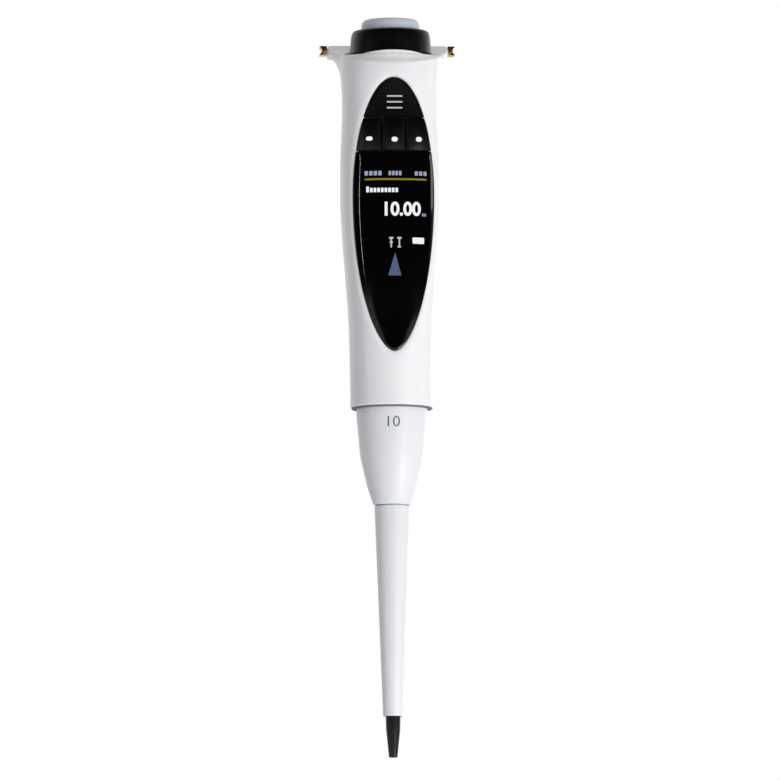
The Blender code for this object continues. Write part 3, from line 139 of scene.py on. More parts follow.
dress(pickup_case, "motor_encoder")


# Ejector drive: a second motor lowers the acetal crosshead on its screw. The crosshead's two
# push rods bear on the sleeve, and a wound steel spring lifts the sleeve again.

ejector_can = surface(
    "drawn can", (0.52, 0.53, 0.55), 0.3, 1.0, drift=0.06, grain=0.15, stretch=DRAWN
)
spring_wire = surface(
    "spring wire", (0.42, 0.43, 0.45), 0.33, 1.0, drift=0.12, grain=0.1, depth=0.004
)
yoke_acetal = surface("crosshead acetal", (0.70, 0.69, 0.66), 0.45, drift=0.03, grain=0.5)
dress(ejector_can, "ejector_motor")
dress(turned_steel, "ejector_screw")
dress(yoke_acetal, "ejector_yoke")
dress(spring_wire, "seal_spring")


# Electronics: glass-fibre boards under green solder mask, and the charging board under black,
# with the display module, the key switches and the round sensor board. The battery is a flat
# cell in a blue shrink sleeve.


def solder_mask(name, colour):
    """Green lacquer over copper tracks, which show through as paler lines."""
    made = surface(name, colour, 0.35, drift=0.15, grain=0.4, depth=0.01)
    tree = made.node_tree
    shader = tree.nodes["Principled BSDF"]
    tint = shader.inputs["Base Color"].links[0].from_socket
    where = added(tree, "TexCoord").outputs["Object"]
    flat = added(tree, "Mapping", {"Rotation": (math.radians(90), 0, 0)}, {"Vector": where})
    tracks = added(
        tree, "TexBrick", {"Scale": 700, "Mortar Size": 0.03, "Mortar": (0.10, 0.30, 0.12, 1)},
        {"Vector": flat.outputs["Vector"], "Color1": tint, "Color2": tint},
    )
    tree.links.new(tracks.outputs["Color"], shader.inputs["Base Color"])
    return made


board = solder_mask("solder mask", (0.015, 0.13, 0.055))
cell_sleeve = surface("shrink sleeve", (0.10, 0.17, 0.32), 0.3, drift=0.08, grain=1.2, depth=0.03)
switch_case = surface("switch case", (0.035, 0.035, 0.04), 0.45, drift=0.15, grain=0.2, depth=0.01)
glass_back = surface("display glass", (0.02, 0.022, 0.03), 0.12, drift=0.1, grain=2.0, depth=0.002)
magnet_ring = surface("bonded magnet", (0.03, 0.03, 0.032), 0.5, drift=0.25, grain=0.15, depth=0.01)
black_board = surface(
    "black solder mask", (0.012, 0.013, 0.013), 0.35, drift=0.15, grain=0.4, depth=0.01
)
dress(board, "main_board", "sensor_board")
dress(black_board, "charging_board")
dress(cell_sleeve, "battery")
dress(switch_case, "soft_switch_left", "soft_switch_middle", "soft_switch_right")
dress(switch_case, "eject_switch", "button_switch")
dress(glass_back, "display_module")
dress(magnet_ring, "encoder_ring")


# Tip cone: a long black carbon-filled cone, turned smooth so that a tip seals on it, which a
# ring nut holds to the chassis. Only its end shows below the sleeve. The seal parts sit inside.

TIP_TO_ORIGIN = 200.5  # mm from the cone's end up to the frame's origin


def placed(name, data):
    """A new object in the scene."""
    made = bpy.data.objects.new(name, data)
    bpy.context.scene.collection.objects.link(made)
    return made


def solid(name, shape, material):
    """An object of a closed bmesh, turned right side out."""
    if shape.calc_volume(signed=True) < 0:
        bmesh.ops.reverse_faces(shape, faces=shape.faces)
    mesh = bpy.data.meshes.new(name)
    shape.to_mesh(mesh)
    shape.free()
    mesh.materials.append(material)
    return placed(name, mesh)


def smooth(mesh, sharp):
    """Shades a mesh smooth, except at edges that turn by more than sharp degrees."""
    mesh.shade_smooth()
    mesh.set_sharp_from_angle(angle=math.radians(sharp))


def whole(name, rows, material, loop=False, sharp=40):
    """One closed piece through rings of points in mm. A loop joins its last ring to its first."""
    shape = bmesh.new()
    rings = [
        [shape.verts.new((x / 1000, y / 1000, (h - TIP_TO_ORIGIN) / 1000)) for x, y, h in row]
        for row in rows
    ]
    count = len(rings[0])
    pairs = list(zip(rings, rings[1:])) + ([(rings[-1], rings[0])] if loop else [])
    for low, high in pairs:
        for i in range(count):
            j = (i + 1) % count
            shape.faces.new((low[i], low[j], high[j], high[i]))
    if not loop:
        shape.faces.new(list(reversed(rings[0])))
        shape.faces.new(rings[-1])
    piece = solid(name, shape, material)
    smooth(piece.data, sharp)
    return piece


def revolved(name, profile, material, sides=96, sharp=40):
    """A turned piece from (radius, height) points. One that starts on the axis is a solid."""
    rows = []
    for radius, height in profile:
        if radius > 0:
            turns = [math.tau * i / sides for i in range(sides)]
            rows.append([(radius * math.cos(a), radius * math.sin(a), height) for a in turns])
    return whole(name, rows, material, profile[0][0] > 0, sharp)


def rounded(line, reach, steps=4, bend=0.97, closed=False):
    """Rounds a line's corners by about that reach, except its ends and where it hardly bends."""
    points = [Vector(point) for point in line]
    last = len(points) - 1
    made = []
    for i, here in enumerate(points):
        back, on = points[i - 1] - here, points[0 if i == last else i + 1] - here
        at_end = not closed and i in (0, last)
        if at_end or back.normalized().dot(on.normalized()) < -bend:
            made.append(line[i])
            continue
        cut = min(reach, back.length * 0.45, on.length * 0.45)
        start, end = here + back.normalized() * cut, here + on.normalized() * cut
        for k in range(steps + 1):
            t = k / steps
            made.append(tuple(start * (1 - t) ** 2 + here * 2 * t * (1 - t) + end * t**2))
    return made


def stand_for(piece, body, node=None):
    """The piece moves with its body and stands for the CAD node of that place."""
    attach(piece, body)
    if node:
        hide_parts(node)
    return piece


cone_black = surface(
    "carbon-filled cone", (0.012, 0.012, 0.013), 0.34, specular=0.35, drift=0.15, grain=0.3
)
# Profiles are (radius, height) points in mm: here up the outside and down the bore.
cone_profile = [
    (0.8, 3.5), (0.8, 0), (1.2, 0), (1.4, 1.8), (1.70, 4.76), (2.0, 7.54), (2.1, 10.44),
    (2.1, 11.6), (2.5, 30), (3.1, 56), (3.1, 80.9), (4.8, 80.9), (4.8, 82.94), (2.2, 82.94),
    (2.2, 62.0), (0.8, 62.0), (0.8, 30.0), (0.45, 29.6), (0.45, 3.9),
]
cone = revolved("tip_cone_turned", rounded(cone_profile, 0.18), cone_black, 64)
stand_for(cone, "housing", "tip_cone")

seal_rubber = surface("seal rubber", (0.83, 0.83, 0.80), 0.6, drift=0.04, grain=0.2, depth=0.02)
dress(seal_rubber, "cone_filter", "piston_seal")


# Ejector sleeve: a white moulded tube and the bell that it plugs into, which slide down
# together over the cone to push a tip off. The bell carries the volume class as a number.

sleeve_white = surface(
    "sleeve moulding", (0.76, 0.77, 0.785), 0.36,
    specular=0.45, drift=0.004, grain=0.5, depth=0.002, uneven=0.012,
)
tube_profile = [
    (4.2, 78.9), (4.2, 71.1), (5.05, 71.1), (2.85, 12.0),
    (2.75, 11.6), (2.45, 11.6), (3.55, 71.1), (3.55, 78.9),
]
tube = revolved("ejector_tube_moulded", rounded(tube_profile, 0.22), sleeve_white)
stand_for(tube, "ejector", "ejector_tube")

BELL_MOUTH, BELL_FLARE, BELL_RADIUS, BELL_WALL = 71.4, 27.5, 10.15, 1.0
bell_stations = [  # radius, and height above the mouth
    (5.3, 0), (5.95, 1.8), (6.75, 4.2), (7.5, 7.1), (8.15, 9.9), (8.8, 12.7), (9.2, 15.6),
    (9.45, 18.6), (9.7, 21.3), (9.95, 24.1), (BELL_RADIUS, BELL_FLARE),
]


def cubic(t, span, start, start_slope, end, end_slope):
    """The value a share t along a span of a cubic with these values and slopes at its ends."""
    return (
        (2 * t**3 - 3 * t**2 + 1) * start + (t**3 - 2 * t**2 + t) * span * start_slope
        + (3 * t**2 - 2 * t**3) * end + (t**3 - t**2) * span * end_slope
    )


def bell_radius(height):
    """The bell's radius at a height above the cone's end, on a smooth line through its stations."""
    h = min(max(height - BELL_MOUTH, 0), BELL_FLARE)
    radii, rises = zip(*bell_stations)
    slopes = np.gradient(np.array(radii), np.array(rises))
    k = next(i for i in range(len(rises) - 1) if h <= rises[i + 1])
    span = rises[k + 1] - rises[k]
    return cubic((h - rises[k]) / span, span, radii[k], slopes[k], radii[k + 1], slopes[k + 1])


outer = [
    (min(bell_radius(BELL_MOUTH + h), BELL_RADIUS), BELL_MOUTH + h)
    for h in np.linspace(0.35, BELL_FLARE, 48)
]
inner = [(r - BELL_WALL, h) for r, h in outer[::4]]
bell_profile = [(4.5, BELL_MOUTH), (5.0, BELL_MOUTH), (5.22, 71.5)] + outer
bell_profile += [(BELL_RADIUS, 106.6), (9.85, 106.9), (6.4, 106.9), (6.4, 104.7), (9.15, 104.7)]
bell_profile += list(reversed(inner[1:]))
bell = revolved("ejector_bell_moulded", bell_profile, sleeve_white, 128)
stand_for(bell, "ejector", "ejector_bell")


INK_RISE, LIGHT_RISE, MARK_FOOT = 0.03, 0.05, -0.05  # mm that faces and feet lie off a surface


def shown_mesh(thing):
    """A new mesh of what a line of figures or a piece with modifiers shows."""
    bpy.context.view_layer.update()
    shown = thing.evaluated_get(bpy.context.evaluated_depsgraph_get())
    return bpy.data.meshes.new_from_object(shown)


def figures(name, text, centre, height, width, place, material, rise, weight=0.0):
    """Flat figures laid on a curved surface: place gives a point of it at an (x, height)."""
    line = bpy.data.curves.new(name, "FONT")
    line.body = text
    line.align_x = "CENTER"
    line.offset = weight
    line.resolution_u = 6
    written = placed(name + "_line", line)
    mesh = shown_mesh(written)
    bpy.data.objects.remove(written)
    corners = np.array([vertex.co[:2] for vertex in mesh.vertices])
    low, high = corners.min(0), corners.max(0)
    flat = bmesh.new()
    flat.from_mesh(mesh)
    for vertex in flat.verts:
        vertex.co.x = centre[0] + ((vertex.co.x - low[0]) / (high[0] - low[0]) - 0.5) * width
        vertex.co.y = centre[1] + ((vertex.co.y - low[1]) / (high[1] - low[1]) - 0.5) * height
        vertex.co.z = 0
    return laid_on(name, flat, place, material, rise)


def laid_on(name, flat, place, material, rise):
    """Turns a flat (x, height) bmesh in mm into a thin solid mark on a curved surface."""
    bmesh.ops.remove_doubles(flat, verts=flat.verts, dist=0.0005)
    grown = bmesh.ops.extrude_face_region(flat, geom=flat.faces[:])
    raised = {item for item in grown["geom"] if isinstance(item, bmesh.types.BMVert)}
    for vertex in flat.verts:
        x, y, h = place(vertex.co.x, vertex.co.y, rise if vertex in raised else MARK_FOOT)
        vertex.co = (x / 1000, y / 1000, (h - TIP_TO_ORIGIN) / 1000)
    bmesh.ops.recalc_face_normals(flat, faces=flat.faces)
    return solid(name, flat, material)


def on_bell(x, height, lift):
    """The point of the bell's front at an x and a height, lifted off it by a little."""
    radius = bell_radius(height) + lift
    return x, -math.sqrt(radius**2 - x**2), height


grey_ink = surface("grey ink", (0.13, 0.13, 0.135), 0.5, drift=0.1, grain=0.15, depth=0.003)
number = figures("volume_number", "10", (-0.15, 94.35), 3.0, 3.5, on_bell, grey_ink, INK_RISE)
stand_for(number, "ejector")


def wound(node, radius, wire, turns):
    """A wire spring in its node's place, with flat end turns."""
    low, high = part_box(node)
    foot = low.z * 1000 + TIP_TO_ORIGIN + wire
    length = (high.z - low.z) * 1000
    rise = length - 2 * wire
    end_rise = 2.2 * wire
    steps, sides = turns * 32, 10
    rows = []
    for k in range(steps + 1):
        a = math.tau * turns * k / steps
        stages = (0, 1, turns - 1, turns)
        h = foot + np.interp(turns * k / steps, stages, (0, end_rise, rise - end_rise, rise))
        row = []
        for i in range(sides):
            b = math.tau * i / sides
            r = radius + wire * math.cos(b)
            row.append((r * math.cos(a), r * math.sin(a), h + wire * math.sin(b)))
        rows.append(row)
    spring = whole(node + "_wound", rows, spring_wire)
    stand_for(spring, "housing", node)
    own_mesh(spring)


wound("ejector_spring", radius=7.2, wire=0.4, turns=5)


# Housing: the front and rear shells are one wall of white glossy polymer, 1.2 mm thick, parted
# just behind the axis. The panel's egg-shaped opening has a rounded, polished edge.

RIM, SEAM = 98.9, 195.6
WALL = 1.2
FRONT_PARTING, REAR_PARTING = 1.48, 1.52  # mm behind the axis, a hairline apart
RIM_EDGE, SEAM_EDGE = 0.55, 0.08  # mm by which the wall's edges are rounded
# Each row: height, front half width, rear half width, front depth, rear depth, and how square
# the front and the rear are, where 2 is an ellipse.
housing_rows = (
    (98.9, 11.75, 11.75, 11.75, 11.75, 2.0, 2.0),
    (112.0, 11.90, 11.90, 12.00, 12.30, 2.1, 2.1),
    (124.0, 12.20, 12.20, 12.50, 13.60, 2.4, 2.3),
    (135.0, 12.93, 12.93, 13.10, 15.00, 2.6, 2.5),
    (146.5, 13.76, 13.76, 13.60, 16.00, 2.7, 2.5),
    (158.0, 14.31, 14.31, 13.90, 16.40, 2.7, 2.5),
    (169.0, 14.26, 14.26, 14.10, 16.30, 2.7, 2.5),
    (181.0, 13.80, 13.80, 14.20, 15.90, 2.6, 2.4),
    (186.5, 13.76, 13.76, 14.30, 15.90, 2.5, 2.3),
    (191.0, 13.97, 14.18, 14.50, 16.20, 2.4, 2.4),
    (193.6, 14.20, 14.90, 14.60, 16.90, 2.3, 2.7),
    (194.6, 14.30, 15.70, 14.60, 17.30, 2.2, 3.0),
    (195.6, 14.40, 16.80, 14.60, 17.70, 2.2, 3.4),
    (196.8, 13.85, 16.90, 13.75, 19.00, 2.1, 3.8),
    (198.0, 13.40, 17.00, 13.20, 20.90, 2.1, 4.6),
    (198.9, 13.20, 17.05, 13.05, 22.90, 2.0, 5.5),
    (199.7, 13.10, 17.10, 13.10, 24.90, 2.0, 7.0),
    (200.5, 13.00, 17.10, 13.00, 26.40, 2.0, 8.0),
    (202.8, 13.00, 17.10, 13.00, 26.40, 2.0, 8.0),
    (203.4, 12.60, 16.60, 12.60, 25.90, 2.0, 8.0),
)


def housing_sizes(height, known={}):
    """The six sizes of the housing's section at a height, on a cubic through the rows."""
    key = round(height, 3)  # heights that were asked for before are known
    if key in known:
        return known[key]
    table = np.array(housing_rows)
    at = table[:, 0]
    h = min(max(height, at[0]), at[-1])
    k = min(int(np.searchsorted(at, h, "right")) - 1, len(at) - 2)
    sizes = []
    for column in range(1, 7):
        v = table[:, column]

        def slope(i):  # none at a peak, so that the line never overshoots its rows
            a, b = max(i - 1, 0), min(i + 1, len(at) - 1)
            if (v[i] - v[a]) * (v[b] - v[i]) <= 0:
                return 0.0
            return (v[b] - v[a]) / (at[b] - at[a])

        span = at[k + 1] - at[k]
        sizes.append(cubic((h - at[k]) / span, span, v[k], slope(k), v[k + 1], slope(k + 1)))
    known[key] = sizes
    return sizes


EAR_REACH, EAR_RISE = 17.1, 4.3


def seam_rise(x):
    """How far the line between the shells and the top cover has climbed at an x."""
    return EAR_RISE * (abs(x) / EAR_REACH) ** 2.4


BEND_ABOVE, BEND_BELOW = 4.9, 9.0  # mm from the seam to where the rows are level again


def bent_up(x, row):
    """How far a row of the housing bends up at an x: fully at the seam and less beyond it."""
    if row > SEAM:
        return seam_rise(x) * max(1 - (row - SEAM) / BEND_ABOVE, 0)
    share = max(1 - (SEAM - row) / BEND_BELOW, 0)
    return seam_rise(x) * share * share * (3 - 2 * share)


def housing_point(height, turn, inset=0.0):
    """A point of the housing's surface. Turn 0 faces the front and grows to the right."""
    across, back = math.sin(turn), -math.cos(turn)
    front_width, rear_width, front, rear, front_n, rear_n = housing_sizes(height)
    share = min(max(back / 0.6, 0.0), 1.0)  # the rear width comes in behind the axis
    share = share * share * (3 - 2 * share)
    width = front_width + (rear_width - front_width) * share - inset
    depth, n = (front, front_n) if back < 0 else (rear, rear_n)
    radius = ((abs(across) / width) ** n + (abs(back) / (depth - inset)) ** n) ** (-1 / n)
    return radius * across, radius * back, height + bent_up(radius * across, height)


def front_depth(height, x):
    """How far in front of the axis the surface lies at a height and an x."""
    height -= bent_up(x, height - bent_up(x, height))
    width, _, depth, _, n, _ = housing_sizes(height)
    share = min(abs(x) / width, 0.999)
    return depth * (1 - share**n) ** (1 / n)


# The height where the panel is widest, its half width there, and its reach up and down.
EGG_WIDEST, EGG_HALF, EGG_UP, EGG_DOWN = 158.1, 11.65, 33.4, 44.0


def egg_outline(count, inset=0.0):
    """The panel's opening as (x, height) points, anticlockwise seen from the front."""
    line = []
    for i in range(count):
        a = math.tau * (i + 0.5) / count
        c, s = math.cos(a), math.sin(a)
        if s >= 0:
            line.append(((EGG_HALF - inset) * c, EGG_WIDEST + (EGG_UP - inset) * s))
        else:
            x = (EGG_HALF - inset) * math.copysign(abs(c) ** 1.13, c)  # narrows to a point
            line.append((x, EGG_WIDEST + (EGG_DOWN - inset) * s))
    return line


UNROLLED = 14.0  # mm of wall for each radian of turn, with the wall laid out flat


def unrolled(height, x):
    """How far round the wall an x lies, with the wall laid out flat."""
    turn = math.asin(min(max(x / 15, -1), 1))
    for _ in range(12):
        radius = math.hypot(*housing_point(height, turn)[:2])
        turn = math.asin(min(max(x / radius, -1), 1))
    return turn * UNROLLED


def parting_turn(height, depth):
    """The turn at which the wall meets the plane where the shells part."""
    turn = math.pi / 2
    for _ in range(8):
        radius = math.hypot(*housing_point(height, turn)[:2])
        turn = math.acos(-depth / radius)
    return turn


def front_shell_rows():
    """Rings that start at the opening's inner edge, round its lip and run out over the wall."""
    egg = [(x, h - bent_up(x, h - bent_up(x, h))) for x, h in egg_outline(720)]
    egg = np.array([(unrolled(h, x), h) for x, h in egg])
    middle = np.array((0.0, 150.0))
    bearing = np.unwrap(np.arctan2(egg[:, 1] - middle[1], egg[:, 0] - middle[0]))
    ahead = np.roll(egg, -1, 0) - np.roll(egg, 1, 0)
    away = np.stack((ahead[:, 1], -ahead[:, 0]), 1)
    away /= np.linalg.norm(away, axis=1)[:, None]

    def side(height):
        return parting_turn(height, FRONT_PARTING) * UNROLLED

    border = []
    side_steps, end_steps = 64, 48
    for way, start, end in ((1, RIM, SEAM), (-1, SEAM, RIM)):
        for k in range(side_steps):
            h = start + (end - start) * k / side_steps
            border.append((way * side(h), h))
        for k in range(end_steps):
            border.append((way * side(end) * (1 - 2 * k / end_steps), end))
    border = np.array(border)
    toward = np.arctan2(border[:, 1] - middle[1], border[:, 0] - middle[0])
    toward = bearing[0] + (toward - bearing[0]) % math.tau
    loop = np.append(bearing, bearing[0] + math.tau)

    def around(values):
        closed = np.vstack((values, values[:1]))
        return np.stack([np.interp(toward, loop, closed[:, c]) for c in (0, 1)], 1)

    hole, normal = around(egg), around(away)
    lip_width, lip_depth = 1.8, 0.62
    edge = np.where(border[:, 1] < RIM + 0.01, RIM_EDGE, SEAM_EDGE)
    rows = []

    def ring_at(points, insets):
        rows.append([housing_point(h, u / UNROLLED, d) for (u, h), d in zip(points, insets)])

    flat = np.ones(len(border))
    ring_at(hole, flat * WALL)
    for k in range(7):
        a = k / 6 * math.pi / 2
        ring_at(hole + normal * lip_width * (1 - math.cos(a)), flat * lip_depth * (1 - math.sin(a)))
    start = hole + normal * lip_width
    reach = border - start
    length = np.linalg.norm(reach, axis=1)
    stop = 1 - edge / length
    for k in range(1, 25):
        f = (k / 24) ** 1.25
        ring_at(start + reach * (stop * f)[:, None], flat * 0)
    for k in range(1, 5):
        a = k / 4 * math.pi / 2
        share = 1 - (edge / length) * (1 - math.sin(a))
        ring_at(start + reach * share[:, None], edge * (1 - math.cos(a)))
    for f in (1.0, 0.8, 0.6, 0.4, 0.2):
        ring_at(hole + (border - hole) * f, flat * WALL)
    return rows


shell_white = surface(
    "housing polymer", (0.82, 0.825, 0.835), 0.30,
    specular=0.45, drift=0.003, grain=0.6, depth=0.001, uneven=0.01,
)
front = whole("front_shell_moulded", front_shell_rows(), shell_white, True, 50)
stand_for(front, "housing", "front_shell")


def rear_shell_rows():
    """Closed C-shaped rings from the rim to the seam: out along the wall and back inside it."""
    steps = 72
    heights = [(RIM, RIM_EDGE), (RIM + 0.12, 0.24), (RIM + 0.32, 0.06), (RIM + 0.6, 0.0)]
    heights += [(h, 0.0) for h in np.linspace(RIM + 2, SEAM - 1, 56)]
    heights += [(SEAM - 0.08, 0.0), (SEAM - 0.03, 0.02), (SEAM, SEAM_EDGE)]
    rows = []
    for height, rounding in heights:
        start = parting_turn(height, REAR_PARTING)
        row = []
        for k in range(steps + 1):
            turn = start + (math.tau - 2 * start) * k / steps
            near_edge = 0.06 if k in (0, steps) else 0.0
            row.append(housing_point(height, turn, max(rounding, near_edge)))
        for k in range(steps, -1, -1):
            turn = start + (math.tau - 2 * start) * k / steps
            row.append(housing_point(height, turn, WALL))
        rows.append(row)
    return rows


def keep_shape(piece):
    """Makes the shape that a piece's modifiers give its own mesh."""
    mesh = shown_mesh(piece)
    piece.modifiers.clear()
    piece.data = mesh
    smooth(mesh, 40)


def carve(piece, tool, operation="DIFFERENCE"):
    """Takes a tool's shape out of a piece, or joins the two with UNION."""
    step = piece.modifiers.new("cut", "BOOLEAN")
    step.operation = operation
    step.solver = "EXACT"
    step.object = tool
    keep_shape(piece)
    bpy.data.objects.remove(tool)


def drawn_out(name, outline, ends, axis, material):
    """A flat outline drawn out along an axis: (x, height) along Y or (y, height) along X."""
    rows = [[(a, end, b) if axis == "Y" else (end, a, b) for a, b in outline] for end in ends]
    return whole(name, rows, material)


def slot_tool(name, low, high, corner):
    """A bar that runs back through the wall between two (x, height) corners, which it rounds."""
    corners = ((high[0], high[1]), (low[0], high[1]), (low[0], low[1]), (high[0], low[1]))
    inward = ((-1, -1), (1, -1), (1, 1), (-1, 1))
    outline = []
    for quarter, ((x, h), (in_x, in_h)) in enumerate(zip(corners, inward)):
        for k in range(6):
            angle = math.pi / 2 * (quarter + k / 5)
            outline.append((
                x + in_x * corner + corner * math.cos(angle),
                h + in_h * corner + corner * math.sin(angle),
            ))
    return drawn_out(name, outline, (10, 30), "Y", shell_white)


rear = whole("rear_shell_moulded", rear_shell_rows(), shell_white, sharp=50)
carve(rear, slot_tool("socket_mouth", (-4.05, 175.2), (4.05, 178.6), 1.3))
carve(rear, slot_tool("switch_slot", (-1.9, 179.7), (1.9, 185.5), 0.5))
SCREW_HEIGHT, SCREW_DEPTH = 111.3, 17
screw_hole = revolved("screw_hole", [(0, -9), (2.0, -9), (2.0, 9), (0, 9)], shell_white, 48)
to_origin = Matrix.Translation((0, 0, TIP_TO_ORIGIN / 1000))
laid_back = Matrix.Rotation(math.radians(90), 4, "X")
to_place = Matrix.Translation((0, SCREW_DEPTH / 1000, (SCREW_HEIGHT - TIP_TO_ORIGIN) / 1000))
screw_hole.data.transform(to_place @ laid_back @ to_origin)
carve(rear, screw_hole)
stand_for(rear, "housing", "rear_shell")


# Rim shadow: a thin ring of dark grey under the housing's lower edge, round the sliding bell. It is
# painted shade: it stands for the shadow in the gap between the rim and the bell, and shows as a
# dark line between the two.

rim_shade_grey = surface(
    "painted rim shadow", (0.15, 0.152, 0.158), 0.6, specular=0.3, drift=0.06, grain=0.3
)
rim_shadow_profile = [
    (10.4, 98.52), (11.25, 98.52), (11.45, 98.7), (11.5, 99.03), (10.6, 99.03), (10.4, 98.85),
    (10.4, 98.52),
]
rim_shadow_ring = revolved("rim_shadow_ring", rounded(rim_shadow_profile, 0.1)[:-1], rim_shade_grey, 128)
stand_for(rim_shadow_ring, "housing")


# Top cover: one white moulding that closes the housing round the wheel, spreads into the two
# ears that carry the contacts, and runs back into the hook that rests on the finger.


def cover_rows():
    """Rings of the housing's own shape from below the seam to above the ears."""
    heights = list(np.linspace(194.2, 200.5, 24)) + [201.6, 202.5, 203.0, 203.3, 203.4]
    return [[housing_point(h, math.tau * i / 128) for i in range(128)] for h in heights]


HOOK_ROOM, HOOK_THICK = 10.5, 3.3  # the radius of the finger's room, and the arch round it
HOOK_START, HOOK_END = 25.0, 17.0  # its width at the cover and at its end
HOOK_SWEEP = math.radians(112)


def hook_rows():
    """Rounded sections along an arch that runs back from the cover and turns down."""
    middle = HOOK_ROOM + HOOK_THICK / 2
    centre_depth, centre_height = 26.5, 189.7
    path = [(18.0, centre_height + middle, 0.0), (22.0, centre_height + middle, 0.0)]
    for k in range(45):
        turn = HOOK_SWEEP * k / 44
        y, h = centre_depth + middle * math.sin(turn), centre_height + middle * math.cos(turn)
        path.append((y, h, turn))
    closes = 0.93  # the share of the arch at which its end starts to round off
    rows = []
    for y, h, turn in path:
        share = turn / HOOK_SWEEP
        half_width = (HOOK_START + (HOOK_END - HOOK_START) * share) / 2
        half_thickness = HOOK_THICK / 2 * (1 - 0.25 * share)
        if share > closes:
            closing = math.sqrt(max(1 - ((share - closes) / 0.072) ** 2, 0.0))
            half_width *= 0.80 + 0.20 * closing
            half_thickness *= 0.35 + 0.65 * closing
        row = []
        for i in range(48):
            a = math.tau * i / 48
            c, s = math.cos(a), math.sin(a)
            across = half_width * math.copysign(abs(c) ** 0.55, c)
            up = half_thickness * math.copysign(abs(s) ** 0.75, s)
            row.append((across, y + math.sin(turn) * up, h + math.cos(turn) * up))
        rows.append(row)
    return rows


DECK_FRONT, DECK_REAR = 198.6, 203.7


def deck_line():
    """The cover's top from the side: low in front of the wheel, sweeping up to the ears behind."""
    line = [(-30, DECK_FRONT)]
    for k in range(29):
        t = k / 28
        line.append((-10 + 24 * t, DECK_FRONT + (DECK_REAR - DECK_FRONT) * t**2.5))
    return line + [(60, DECK_REAR), (60, 224), (-30, 224)]


def lip_rows():
    """Sections of the crescent on the cover's edge in front of the wheel, from left to right."""
    inside, outside, foot = 12.95, 13.75, 198.0
    rows = []
    for k in range(33):
        share = k / 16 - 1
        a = math.radians(43) * share
        top = 199.5 - 1.1 * share * share
        section = [(inside, foot), (outside, foot), (outside, top), (inside, top), (inside, foot)]
        section = rounded(section, 0.22)[:-1]
        rows.append([(r * math.sin(a), 1.0 - r * math.cos(a), h) for r, h in section])
    return rows


def seam_room(gap):
    """What lies below the seam, seen from the front."""
    line = [(x, SEAM + gap + seam_rise(x)) for x in np.linspace(19, -19, 77)]
    return [(-40, line[-1][1]), (-40, 150), (40, 150), (40, line[0][1])] + line


cover = whole("top_cover_moulded", cover_rows(), shell_white)
carve(cover, whole("hook_arch", hook_rows(), shell_white), "UNION")
carve(cover, drawn_out("deck_cut", deck_line(), (-40, 40), "X", shell_white))
recess_profile = [(0, 198.45), (12.9, 198.45), (12.9, 215), (0, 215)]
recess = revolved("wheel_recess", recess_profile, shell_white, 128)
recess.data.transform(Matrix.Translation((0, 0.001, 0)))
carve(cover, recess)
remesh = cover.modifiers.new("even mesh", "REMESH")
remesh.mode = "VOXEL"
remesh.voxel_size = 0.0003
soften = cover.modifiers.new("rounded edges", "SMOOTH")
soften.factor = 0.6
soften.iterations = 7
thin = cover.modifiers.new("fewer faces", "DECIMATE")
thin.ratio = 0.35
keep_shape(cover)
carve(cover, whole("wheel_lip", lip_rows(), shell_white), "UNION")
hub_profile = [(0, 180), (10.45, 180), (10.45, 215), (0, 215)]
carve(cover, revolved("hub_hole", hub_profile, shell_white, 96))
carve(cover, drawn_out("seam_cut", seam_room(0.03), (-40, 26.5), "Y", shell_white))
stand_for(cover, "housing", "top_cover")


# Charging contacts: two gold-plated blocks, waisted between their rounded ends, one pressed
# on to each ear, where the stand's spring pins meet them.

gold = surface(
    "gold plating", (0.72, 0.50, 0.18), 0.24, 1.0, drift=0.14, grain=0.25, depth=0.004
)
contact_outline = [
    (17.12, 200.7), (19.15, 200.7), (19.15, 201.08), (18.65, 201.55), (18.65, 202.5),
    (19.15, 202.97), (19.15, 203.35), (17.12, 203.35), (17.12, 200.7),
]
for side, node in ((-1, "left_contact"), (1, "right_contact")):
    outline = [(side * x, h) for x, h in rounded(contact_outline, 0.14)[:-1]]
    contact = drawn_out(node + "_plated", outline, (13.6, 18.2), "Y", gold)
    soft = contact.modifiers.new("soft edges", "BEVEL")
    soft.width = 0.00012
    soft.segments = 2
    soft.limit_method = "ANGLE"
    soft.angle_limit = math.radians(50)
    keep_shape(contact)
    stand_for(contact, "housing", node)


# Back of the housing: the nickel-plated charging socket, the black slide of the power switch
# and the steel screw that holds the rear shell.

nickel = surface("nickel plating", (0.66, 0.65, 0.62), 0.22, 1.0, drift=0.05, grain=0.2)
dress(nickel, "charging_socket")
switch_black = surface(
    "switch slide", (0.02, 0.02, 0.022), 0.42, drift=0.15, grain=0.25, depth=0.01
)
dress(switch_black, "power_switch")
screw_steel = surface("zinc-plated screw", (0.55, 0.56, 0.58), 0.3, 1.0, drift=0.1, grain=0.15)
dress(screw_steel, "housing_screw")


# Display window: a black glossy window moulded to the housing's own curve. Its face is level
# with the wall, its edge is rounded, and the lit picture shows through it.


def evenly(outline, count):
    """The same closed outline as an array of points that are evenly apart."""
    points = np.array(outline + outline[:1])
    run = np.concatenate(([0], np.cumsum(np.linalg.norm(np.diff(points, axis=0), axis=1))))
    at = np.linspace(0, run[-1], count, endpoint=False)
    return np.stack([np.interp(at, run, points[:, c]) for c in (0, 1)], 1)


def clip(outline, side, limit, keep_above):
    """The part of a flat outline on one side of a line along an axis."""
    kept = []
    for here, there in zip(outline, outline[1:] + outline[:1]):
        inside = [(p[side] >= limit) == keep_above for p in (here, there)]
        if inside[0]:
            kept.append(here)
        if inside[0] != inside[1]:
            share = (limit - here[side]) / (there[side] - here[side])
            other = here[1 - side] + (there[1 - side] - here[1 - side]) * share
            kept.append((limit, other) if side == 0 else (other, limit))
    return kept


